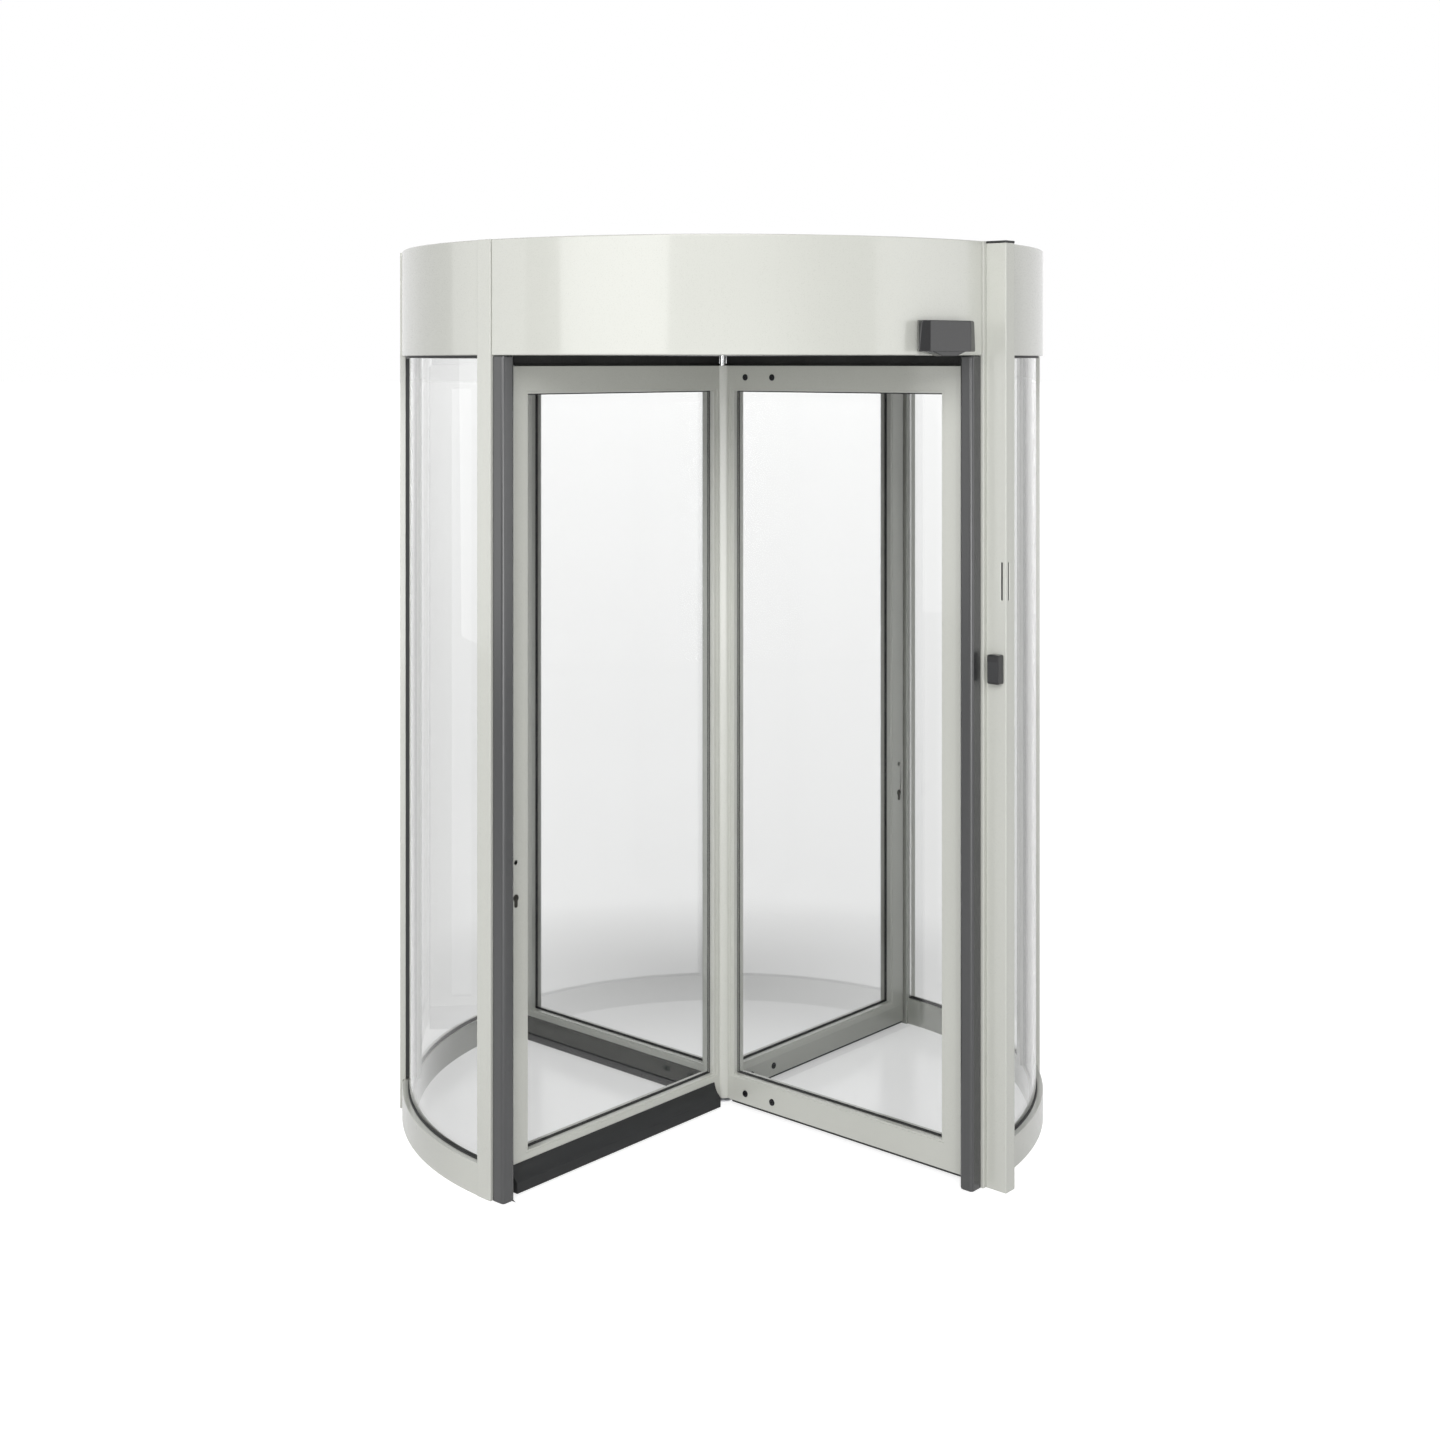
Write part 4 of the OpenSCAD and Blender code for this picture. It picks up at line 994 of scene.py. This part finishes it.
@dataclass
class Drum:
    """The fixed drum: canopy sheet, skirts, curved panes, gaskets, posts and mullions.

    Attributes:
        radius: Outer radius of canopy and skirts.
        clear_height: Height of the canopy's lower edge.
        height: Height of the whole door.
        sheet: Thickness of the canopy's sheet.
        flange: Width of its folded flanges.
        fold: Outer radius of the folds.
        low_sheet: Thickness of the lower flange.
        seam: Gap between the sheet metal and the posts' sides, and so on for skirts, panes and gaskets.
        post_half: Half of a post's width.
        skirt_in: Inner radius of the skirts.
        skirt_height: Their height.
        skirt_wall: Thickness of their sheet.
        groove: Inner and outer radius of the glass grooves.
        groove_floor: Height of the grooves' floor.
        pane: Inner and outer radius of the glass.
        pane_joint: Half of the joint between two panes.
        ground_edge: Rounding of a pane's edges.
        pane_top: Height of the panes' upper edges.
        play: Gap round the glass in the head channel.
        head_floor: Height of the head channel's lower side.
        head_top: Height of its upper side.
        lip_heights: Lower and upper end of the skirts' gaskets.
        strip_heights: The same of the gaskets at mullions and posts.
    """

    sweep: DrumSweep
    radius: float = 0.900
    clear_height: float = 2.110
    height: float = 2.400
    sheet: float = 0.003
    flange: float = 0.012
    fold: float = 0.0035
    low_sheet: float = 0.002
    seam: float = 0.0022
    skirt_seam: float = 0.0006
    pane_seam: float = 0.0003
    gasket_seam: float = 0.0004
    post_half: float = 0.025
    skirt_in: float = 0.862
    skirt_height: float = 0.080
    skirt_wall: float = 0.004
    groove: Span = (0.868, 0.884)
    groove_floor: float = 0.056
    pane: Span = (0.871, 0.881)
    pane_joint: float = 0.0015
    ground_edge: float = 0.0012
    pane_top: float = 2.108
    play: float = 0.0003
    head_floor: float = 2.104
    head_top: float = 2.1117
    lip_heights: Span = (0.074, 0.084)
    strip_heights: Span = (0.0843, 2.1037)

    SIDES = {"left": 180.0, "right": 0.0}
    FACES = {"front": -90.0, "right": 0.0, "rear": 90.0, "left": 180.0}
    # Two radii, then the rounding at each
    LIPS = ((0.868, 0.8707, 0.0018, 0.0004), (0.8813, 0.884, 0.0004, 0.0018))
    # Two radii, two sides and the rounding
    MULLION_STRIPS = ((0.8813, 0.892, -0.022, 0.022, 0.002), (0.866, 0.8704, -0.017, 0.017, 0.001))
    POST_STRIPS = ((0.8813, 0.889, 0.025, 0.033, 0.0016), (0.8623, 0.8698, 0.025, 0.033, 0.0016))

    def quarter(self, middle: float, inner: float, gap: float) -> Span:
        """Angles between which a quarter leaves a gap to the posts at its inner radius."""
        cut = math.degrees(math.asin((self.post_half + gap) / inner))
        return middle - 45 + cut, middle + 45 - cut

    def lay(self, node: str, ending: str, section: Outline, span: Span, slot: Slot,
            segments: int = 128) -> None:
        """Sweep a section over a span of angles and put it in a node's place."""
        mesh = merged(node + ending, [self.sweep.sweep(node, slot, section, span, segments)])
        place_mesh(mesh, Body.DRUM, slot, (node,))

    def canopy(self) -> None:
        """Fascia sheets with folded edges."""
        outer, top, low, fold = self.radius, self.height, self.clear_height, self.fold
        inner, back = outer - self.flange, outer - self.sheet
        high, ledge, thin = top - self.sheet, low + self.low_sheet, fold - self.sheet
        section = rounded([
            (inner, low, 0.0), (outer, low, fold), (outer, top, fold), (inner, top, 0.0),
            (inner, high, 0.0), (back, high, thin), (back, ledge, thin), (inner, ledge, 0.0)], 5)
        for face, middle in self.FACES.items():
            span = self.quarter(middle, inner, self.seam)
            self.lay(f"fascia_{face}", "_sheet", section, span, Slot.POWDER_COAT)

    def skirts(self) -> None:
        """Folded base channels with the groove for the glass."""
        inner, outer, top, wall = self.skirt_in, self.radius, self.skirt_height, self.skirt_wall
        near, far = self.groove
        base, web = self.groove_floor, self.groove_floor - wall
        section = rounded([
            (inner, 0.0, 0.0), (inner, top, 0.0015), (near, top, 0.0008), (near, base, 0.0), (far, base, 0.0),
            (far, top, 0.0008), (outer, top, 0.0025), (outer, 0.0, 0.0), (outer - wall, 0.0, 0.0),
            (outer - wall, web, 0.001), (inner + wall, web, 0.001), (inner + wall, 0.0, 0.0)])
        for side, middle in self.SIDES.items():
            span = self.quarter(middle, inner, self.skirt_seam)
            self.lay(f"skirt_{side}", "_channel", section, span, Slot.POWDER_COAT)

    def panes(self) -> None:
        """Curved panes, two to a side, with ground edges."""
        section = rounded(block(*self.pane, self.groove_floor, self.pane_top, self.ground_edge), 2)
        joint = math.degrees(self.pane_joint / self.pane[0])
        for side, middle in self.SIDES.items():
            start, end = self.quarter(middle, self.pane[0], self.pane_seam)
            halves = ("rear", "front") if side == "left" else ("front", "rear")
            for half, span in zip(halves, ((start, middle - joint), (middle + joint, end))):
                self.lay(f"wall_glass_{half}_{side}", "_pane", section, span, Slot.WALL_GLASS, 80)

    def gaskets(self) -> None:
        """Head channels and the seals at skirts, mullions and posts, as one piece."""
        inner, outer = self.skirt_in, self.radius - self.flange - self.play
        near, far = self.groove
        base, roof, top = self.head_floor, self.pane_top + self.play, self.head_top
        head = rounded([
            (inner, base, 0.0006), (near, base, 0.0), (near, roof, 0.0), (far, roof, 0.0), (far, base, 0.0),
            (outer, base, 0.0006), (outer, top, 0.0), (inner, top, 0.0)], 2)
        low, high = self.lip_heights
        lips = [rounded([(r0, low, 0.0), (r1, low, 0.0), (r1, high, cut1), (r0, high, cut0)], 3)
                for r0, r1, cut0, cut1 in self.LIPS]
        parts = []
        for side, middle in self.SIDES.items():
            for index, section in enumerate([head, *lips]):
                span = self.quarter(middle, section[0][0], self.gasket_seam)
                parts.append(self.sweep.sweep(f"gasket_{side}_{index}", Slot.GASKET_RUBBER, section, span))
        strips = bmesh.new()
        at_mullions = [Matrix.Rotation(math.radians(middle), 4, "Z") for middle in self.SIDES.values()]
        at_posts = [corner.post_frame for corner in Corner]
        for places, outlines in ((at_mullions, self.MULLION_STRIPS), (at_posts, self.POST_STRIPS)):
            for place in places:
                for outline in outlines:
                    add_prism(strips, rounded(block(*outline), 3), *self.strip_heights, place)
        parts.append(mesh_of("gasket_strips", strips))
        place_mesh(merged("wall_gasket_set", parts), Body.DRUM, Slot.GASKET_RUBBER, ("wall_gaskets",))

    def profiles(self) -> None:
        """Posts, mullions and safety edges with the radii of extrusions."""
        nodes = [corner.node("post") for corner in Corner] + [f"mullion_{side}" for side in self.SIDES]
        EdgeWork(0.0016, 3).carry_out(Body.DRUM, Slot.POWDER_COAT, *nodes)
        EdgeWork(0.0050, 4).carry_out(Body.DRUM, Slot.EDGE_RUBBER, "safety_edges")

    def dress(self) -> None:
        """Build and place every piece of the drum."""
        self.canopy()
        self.skirts()
        self.panes()
        self.gaskets()
        self.profiles()


@dataclass
class ReaderPost:
    """The hollow post at the right of the front opening, with its card reader.

    Attributes:
        reader_span: Reader's extent away from the door's axis, in the post's frame.
        reader_middle: Height of the reader's middle.
        front: Distance of the reader's face from the post's centre plane.
        dot_pitch: Distance between the marks on the reader.
        dot_radius: Radius of a mark.
        dot_span: Where a mark starts and ends along its axis.
        dots_drop: How far the middle of the marks is below that of the reader.
    """

    repeater: Repeater
    reader_span: Span = (0.920, 0.956)
    reader_middle: float = 1.319
    front: float = -0.0355
    dot_pitch: float = 0.0056
    dot_radius: float = 0.0008
    dot_span: Span = (-0.0002, 0.0002)
    dots_drop: float = 0.006

    def marks(self) -> None:
        """Rows of small key dots on the reader's window."""
        frame_of_post = Corner.FRONT_RIGHT.turn
        aim = frame_of_post.to_3x3() @ Vector((0, -1, 0))
        size, count = self.dot_radius, 12
        angles = [math.tau * k / count for k in range(count)]
        bm = bmesh.new()
        add_prism(bm, [(size * math.cos(a), size * math.sin(a)) for a in angles], *self.dot_span,
                  Matrix.Identity(4))
        dot = mesh_of("reader_dot", bm)
        middle, pitch = sum(self.reader_span) / 2, self.dot_pitch
        level = self.reader_middle - self.dots_drop
        places = [(frame_of_post @ Vector((middle + column * pitch, self.front, level + row * pitch)), aim)
                  for row in range(-4, 5) for column in range(-2, 3)]
        mesh = self.repeater.repeat("reader_key_dots", Slot.BOX_COAT, dot, places)
        place_mesh(mesh, Body.DRUM, Slot.BOX_COAT)

    def dress(self) -> None:
        """Round the edges of post, cap and reader, and add the marks."""
        EdgeWork(0.0018, 3).carry_out(Body.DRUM, Slot.POWDER_COAT, "reader_post")
        EdgeWork(0.0010, 2).carry_out(Body.DRUM, Slot.DARK_PLASTIC, "reader_post_cap", "card_reader")
        EdgeWork(0.0005, 2).carry_out(Body.DRUM, Slot.DARK_PLASTIC, "reader_face")
        self.marks()


@dataclass
class MotionSensor:
    """The moulded sensor on the front fascia.

    Attributes:
        radius: Radius of the housing's edges.
        lens_radius: Radius of the lens hood's edges.
    """

    radius: float = 0.0022
    lens_radius: float = 0.0015

    def dress(self) -> None:
        """Round the moulded edges of housing and lens hood."""
        EdgeWork(self.radius, 3, 12.0).carry_out(Body.DRUM, Slot.DARK_PLASTIC, "sensor_housing")
        EdgeWork(self.lens_radius, 3).carry_out(Body.DRUM, Slot.DARK_PLASTIC, "sensor_lens")


# The rotor


@dataclass
class Rotor:
    """The turning part: column, four wings and their trim.

    Attributes:
        reach: Radius that the wings' seals reach.
        frame_end: Outer end of the wing frames.
        floor_gap: Height of the bottom rails.
        top: Height of the top rails' upper side.
        opening: Clear glass of a wing, as its ends along the wing and its heights.
        bead_span: Distances of a coated bead's faces from the wing's middle plane.
        gasket_span: The same of the gasket between bead and glass.
        brush_start: Where the top brush starts.
        brush_ends: Where it ends, on a plain and on a lock wing.
        brush_tip: Height of the bristles' ends.
        bristles: Bristles on each wing.
        bead_outer: How far the coated bead reaches past the opening: inwards, outwards, up and down.
        bead_inner: The same of its inner edge.
        gasket_outer: The same of the gasket.
        bead_radius: Rounding of the beads' edges.
        brush_root: Where the bristles start, above the top rail.
        pile_inset: How much shorter the closed pile is at each end.
        bristle_thickness: Radius of a bristle's root.
        bristle_lean: How far a bristle leans at most, in radians.
        bristle_spread: How far its root strays at most.
        seal_inset: How much shorter the edge seals are at each end.
        lip_start: Where the bottom seals start.
        screw_stations: Distances of the hub screws from the axis.
        screw_heights: Their heights.
        screw_seat: Where their heads sit, from the wing's middle plane.
        screw_radius: Radius of a head.
        screw_height: Height of a head.
    """

    bristle_row: BristleRow
    repeater: Repeater
    reach: float = 0.850
    frame_end: float = 0.837
    floor_gap: float = 0.0155
    top: float = 2.083
    opening: Edges = (0.0633, 0.772, 0.0925, 2.0095)
    bead_span: Span = (0.0068, 0.0225)
    gasket_span: Span = (0.0053, 0.0068)
    brush_start: float = 0.016
    brush_ends: Span = (0.833, 0.8021)
    brush_tip: float = 2.1115
    bristles: int = 1500
    bead_outer: Triple = (0.0130, 0.0085, 0.0085)
    bead_inner: Triple = (0.001, 0.0015, 0.0032)
    gasket_outer: Triple = (0.002, 0.008, 0.008)
    bead_radius: float = 0.0006
    brush_root: float = 0.005
    pile_inset: float = 0.0004
    bristle_thickness: float = 0.0003
    bristle_lean: float = 0.018
    bristle_spread: Triple = (0.0002, 0.0016, 0.0)
    seal_inset: float = 0.005
    lip_start: float = 0.052
    screw_stations: Span = (0.105, 0.2025)
    screw_heights: Span = (0.0435, 2.0505)
    screw_seat: float = -0.0207
    screw_radius: float = 0.0088
    screw_height: float = 0.0048

    def wings(self) -> None:
        """Frames and glass of the four wings, their bumpers and the column."""
        for corner in Corner:
            EdgeWork(0.0012).carry_out(Body.ROTOR, Slot.POWDER_COAT, corner.node("wing_frame"))
            EdgeWork(0.0008, 1).carry_out(Body.ROTOR, Slot.WING_GLASS, corner.node("wing_glass"))
        EdgeWork(0.0015).carry_out(Body.ROTOR, Slot.EDGE_RUBBER, "wing_bumpers", finish=BUMPER_RUBBER)
        EdgeWork(0.0008).carry_out(Body.ROTOR, Slot.POWDER_COAT, "centre_column")

    def around(self, inward: float, outward: float, rise: float) -> Edges:
        """The opening of a wing, grown towards the column, outwards, and up and down."""
        s0, s1, z0, z1 = self.opening
        return s0 - inward, s1 + outward, z0 - rise, z1 + rise

    def beads(self) -> None:
        """Coated glazing beads on both sides of each pane, and the gaskets between them and the glass."""
        sets = (
            ("glazing_beads", self.bead_span, self.bead_outer, self.bead_inner, Slot.POWDER_COAT, ()),
            ("glazing_gaskets", self.gasket_span, self.gasket_outer, (0, 0, 0), Slot.GASKET_RUBBER,
             ("wing_beads",)))
        for name, span, outer, inner, slot, nodes in sets:
            bm = bmesh.new()
            for corner in Corner:
                for side in (-1.0, 1.0):
                    faces = sorted(side * face for face in span)
                    add_ring(bm, self.around(*outer), self.around(*inner), *faces, corner.turn @ UPRIGHT)
            mesh = bevelled(name, mesh_of(name + "_raw", bm), self.bead_radius)
            place_mesh(mesh, Body.ROTOR, slot, nodes)

    def brushes(self) -> None:
        """Top brushes: a holder, the closed middle of the pile, and loose bristles around it."""
        holders = bmesh.new()
        parts = []
        foot, tip = self.top + self.brush_root, self.brush_tip
        holder = rounded([(-0.005, self.top, 0.0), (0.005, self.top, 0.0), (0.005, self.top + 0.006, 0.001),
                          (-0.005, self.top + 0.006, 0.001)], 3)
        pile = [(-0.0016, foot + 0.0005), (0.0016, foot + 0.0005), (0.0013, tip - 0.0012),
                (-0.0013, tip - 0.0012)]
        start = self.brush_start
        for corner in Corner:
            place = corner.turn @ ALONG_X
            end = self.brush_ends[1 if corner.locked else 0]
            add_prism(holders, holder, start, end, place)
            add_prism(holders, pile, start + self.pile_inset, end - self.pile_inset, place)
            step = (end - start) / self.bristles
            row = self.bristle_row.grow(
                "bristles_" + corner.name.lower(), Slot.BRISTLE, Count=self.bristles,
                Start=(start + step / 2, 0.0, foot), Step=(step, 0.0, 0.0), Length=tip - foot,
                Thickness=self.bristle_thickness, Lean=self.bristle_lean, Spread=self.bristle_spread,
                Seed=int(corner.value) + 200)
            row.transform(corner.turn)
            parts.append(row)
        parts.append(mesh_of("brush_holders", holders))
        mesh = merged("wing_brush_set", parts, 60.0)
        place_mesh(mesh, Body.ROTOR, Slot.BRISTLE, ("wing_brushes",))

    def seals(self) -> None:
        """Lip seals under the bottom rails and finned seals on the outer edges."""
        bm = bmesh.new()
        low, high = self.floor_gap + self.seal_inset, self.top - self.seal_inset
        end, tip = self.frame_end, self.reach
        fins = both_sides([
            (end, -0.008), (end + 0.003, -0.008), (end + 0.0088, -0.0062), (end + 0.0088, -0.0052),
            (end + 0.003, -0.0055), (end + 0.003, -0.0022), (tip, -0.0009)], (1, -1))
        base = self.floor_gap
        root, edge = base - 0.003, base - 0.007
        lips = both_sides([(-0.020, base), (-0.020, root), (-0.017, root), (-0.019, edge), (-0.0175, edge),
                           (-0.0135, root)], (-1, 1))
        for corner in Corner:
            add_prism(bm, fins, low, high, corner.turn)
            add_prism(bm, lips, self.lip_start, end, corner.turn @ ALONG_X)
        mesh = mesh_of("wing_seal_set", bm)
        place_mesh(mesh, Body.ROTOR, Slot.GASKET_RUBBER, ("wing_seals",))

    def screw(self) -> Mesh:
        """Build one socket screw: head with a chamfer and a hexagon socket, and its shank.

        Returns:
            The screw's mesh.
        """
        count, radius, top = 24, self.screw_radius, self.screw_height
        bm = bmesh.new()

        def ring(size: float, height: float, hexagon: bool = False) -> list[BMVert]:
            """Add a ring of vertices.

            Args:
                size: Its radius, to the flats of a hexagon.
                height: Its height.
                hexagon: Whether it is hexagonal.

            Returns:
                The vertices.
            """
            verts = []
            for k in range(count):
                angle = math.tau * k / count
                far = size / math.cos((angle % (math.pi / 3)) - math.pi / 6) if hexagon else size
                verts.append(bm.verts.new((far * math.cos(angle), far * math.sin(angle), height)))
            return verts

        rings = [ring(0.004, -0.0125), ring(0.004, 0.0), ring(radius, 0.0), ring(radius, top - 0.0009),
                 ring(radius - 0.0003, top - 0.0003), ring(radius - 0.0009, top), ring(0.0036, top, True),
                 ring(0.0034, top - 0.0002, True), ring(0.0034, top - 0.0024, True)]
        for lower, upper in zip(rings, rings[1:]):
            join_loops(bm, lower, upper)
        bm.faces.new(rings[0])
        bm.faces.new(rings[-1])
        return mesh_of("hub_screw", bm)

    def screws(self) -> None:
        """The sixteen hub screws."""
        places = []
        for corner in Corner:
            aim = corner.turn.to_3x3() @ Vector((0, -1, 0))
            places += [(corner.turn @ Vector((s, self.screw_seat, z)), aim)
                       for s in self.screw_stations for z in self.screw_heights]
        mesh = self.repeater.repeat("hub_screw_set", Slot.SCREW_STEEL, self.screw(), places)
        place_mesh(mesh, Body.ROTOR, Slot.SCREW_STEEL, ("wing_screws",))

    def dress(self) -> None:
        """Build and place every piece of the rotor."""
        self.wings()
        self.beads()
        self.brushes()
        self.seals()
        self.screws()


def dress_kept_nodes() -> None:
    """Give each node its finish by the record's slot."""
    for part in frame["record"]["subparts"]:
        coat(frame["nodes"][part["node"]], FINISHES[Slot(part["material_slot"])])


# The studio


@dataclass(frozen=True)
class SoftBox:
    """A soft studio lamp that the camera doesn't see.

    Attributes:
        name: The lamp's name.
        power: Power in watts.
        size: Width and height.
        place: Where it stands.
        target: What it points at.
    """

    name: str
    power: float
    size: Span
    place: Triple
    target: Triple = (0.0, 0.0, 1.2)

    def hang(self) -> None:
        """Put the lamp into the scene."""
        lamp = bpy.data.lights.new(self.name, "AREA")
        lamp.shape = "RECTANGLE"
        lamp.size, lamp.size_y = self.size
        lamp.energy = self.power
        holder = link_object(self.name, lamp)
        holder.location = self.place
        aim = Vector(self.target) - Vector(self.place)
        holder.rotation_euler = aim.to_track_quat("-Z", "Y").to_euler()
        holder.visible_camera = False
        holder.visible_transmission = False


@dataclass
class Studio:
    """White studio: world, soft lamps, glossy pale floor and the camera.

    Attributes:
        camera_place: Where the camera stands.
        camera_turn_deg: Its turn about Z.
        lens: Focal length on a 36 mm sensor, in millimetres.
        shift: Sideways and upward shift of the lens.
        floor_size: Side of the floor.
        ambient: Level of the world as diffuse light, from below and from above.
        sky_span: Heights of direction between which the ambient light rises.
        wall_level: Level of the studio's front and sides in reflections.
        back_tilt: How far the bright back reaches round to the right.
        back_span: Directions between which walls and bright back pass into each other.
        top_span: Heights of direction between which walls and bright top do the same.
        floor_tone: Base colour of the floor.
        floor_rough: Its roughness.
        floor_lift: Light added to the floor for the camera.
        floor_through: The same where it is seen through glass.
        floor_glow: Light added to the floor in reflections.
        painted_shade_place: Middle of a painted shade that the floor shows through glass, behind the door.
        painted_shade_span: Distances from that middle between which the painted shade fades.
        painted_shade_depth: How much the painted shade lowers the floor's added light there.
        painted_shade_stretch: How much shorter the painted shade is along Y than along X.
    """

    camera_place: Triple = (-0.344, -5.574, 2.0932)
    camera_turn_deg: float = -3.53
    lens: float = 49.06
    shift: Span = (-0.0018, -0.24856)
    floor_size: float = 400.0
    ambient: Span = (0.10, 0.25)
    sky_span: Span = (-0.1, 0.9)
    wall_level: float = 0.34
    back_tilt: float = 0.15
    back_span: Span = (0.2, 0.7)
    top_span: Span = (0.35, 0.9)
    floor_tone: float = 0.60
    floor_rough: float = 0.22
    floor_lift: float = 0.76
    floor_through: float = 0.45
    floor_glow: float = 0.40
    painted_shade_place: Span = (0.0, 1.2)
    painted_shade_span: Span = (0.1, 1.2)
    painted_shade_depth: float = 0.30
    painted_shade_stretch: float = 1.33

    LAMPS = (
        SoftBox("left_strip", 40.0, (3.2, 1.6), (-3.05, -3.95, 2.55)),
        SoftBox("front_key", 310.0, (5.0, 3.5), (-0.9, -7.4, 5.4), (0.0, 0.0, 0.8)),
        SoftBox("front_low", 124.0, (6.0, 1.8), (0.0, -8.0, 0.92), (0.0, 0.0, 0.95)),
        SoftBox("right_fill", 48.0, (3.5, 3.5), (4.7, -2.3, 2.2)),
        SoftBox("left_fill", 24.0, (3.0, 3.0), (-4.8, -0.4, 2.2)),
    )

    def world(self) -> None:
        """White for the camera and through glass, a studio with darker walls at its front in reflections."""
        world = bpy.data.worlds.new("studio_white")
        bpy.context.scene.world = world
        graph = blank_graph(world)
        generated = graph.add("ShaderNodeTexCoord").outputs["Generated"]
        aim = graph.add("ShaderNodeSeparateXYZ", {0: generated}).outputs
        back = graph.sum(aim["X"], self.back_tilt, aim["Y"])
        back = graph.ramp(back, self.back_span, (self.wall_level, 1.0))
        mirrored = graph.calc("MAXIMUM", back, graph.ramp(aim["Z"], self.top_span))
        behind = graph.seen_rays("Is Camera Ray", "Is Transmission Ray")
        gloss = graph.seen_rays("Is Glossy Ray")
        sky = graph.ramp(aim["Z"], self.sky_span, self.ambient)
        level = graph.mix(behind, graph.mix(gloss, sky, mirrored), 1.0)
        light = graph.add("ShaderNodeBackground", {"Color": (1, 1, 1, 1), "Strength": level})
        graph.add("ShaderNodeOutputWorld", {"Surface": light})

    def floor(self) -> None:
        """Pale floor with a soft gloss, which keeps the door's shadow, and a painted shade behind the door
        where it is seen through glass.
        """
        half = self.floor_size / 2
        mesh = bpy.data.meshes.new("studio_floor")
        corners = [(-half, -half, 0), (half, -half, 0), (half, half, 0), (-half, half, 0)]
        mesh.from_pydata(corners, [], [(0, 1, 2, 3)])
        floor = link_object("studio_floor", mesh)
        material = bpy.data.materials.new("studio_floor_white")
        graph = blank_graph(material)
        # Painted shade: behind the door, the floor's added light seen through glass dips in a soft patch that
        # stands in for the door's shadow.
        shade_x, shade_y = self.painted_shade_place
        stretch = (1.0, self.painted_shade_stretch, 0.0)
        middle = (-shade_x, -shade_y * self.painted_shade_stretch, 0.0)
        aside = graph.vector("MULTIPLY_ADD", graph.object_place(), stretch, middle)
        reach = graph.vector("LENGTH", aside).outputs["Value"]
        levels = (self.floor_through - self.painted_shade_depth, self.floor_through)
        through = graph.ramp(reach, self.painted_shade_span, levels)
        camera, glass = graph.seen_rays("Is Camera Ray"), graph.seen_rays("Is Transmission Ray")
        further = graph.product(graph.seen_rays("Is Glossy Ray", "Is Transmission Ray"),
                                graph.mix(glass, self.floor_glow, through))
        shader = graph.add("ShaderNodeBsdfPrincipled", {
            "Base Color": (*[self.floor_tone] * 3, 1), "Roughness": self.floor_rough,
            "Emission Color": (1, 1, 1, 1), "Emission Strength": graph.mix(camera, further, self.floor_lift)})
        graph.add("ShaderNodeOutputMaterial", {"Surface": shader})
        mesh.materials.append(material)

    def camera(self) -> None:
        """The photograph's viewpoint, level, with the shift of its framing."""
        data = bpy.data.cameras.new("photo_camera")
        data.lens = self.lens
        data.sensor_width = 36.0
        data.shift_x, data.shift_y = self.shift
        data.clip_end = 200.0
        camera = link_object("photo_camera", data)
        camera.location = self.camera_place
        camera.rotation_euler = (math.radians(90), 0.0, math.radians(self.camera_turn_deg))
        bpy.context.scene.camera = camera

    def set_up(self) -> None:
        """Build the whole studio."""
        self.world()
        self.floor()
        self.camera()
        for lamp in self.LAMPS:
            lamp.hang()
        bpy.context.scene.view_settings.view_transform = "Standard"


def main() -> None:
    """Dress the door, set up the studio and report."""
    logging.basicConfig(level=logging.INFO, format="%(name)s: %(message)s")
    dress_kept_nodes()
    repeater = Repeater()
    Drum(DrumSweep()).dress()
    ReaderPost(repeater).dress()
    MotionSensor().dress()
    Rotor(BristleRow(), repeater).dress()
    Studio().set_up()


if __name__ == "__main__":
    main()
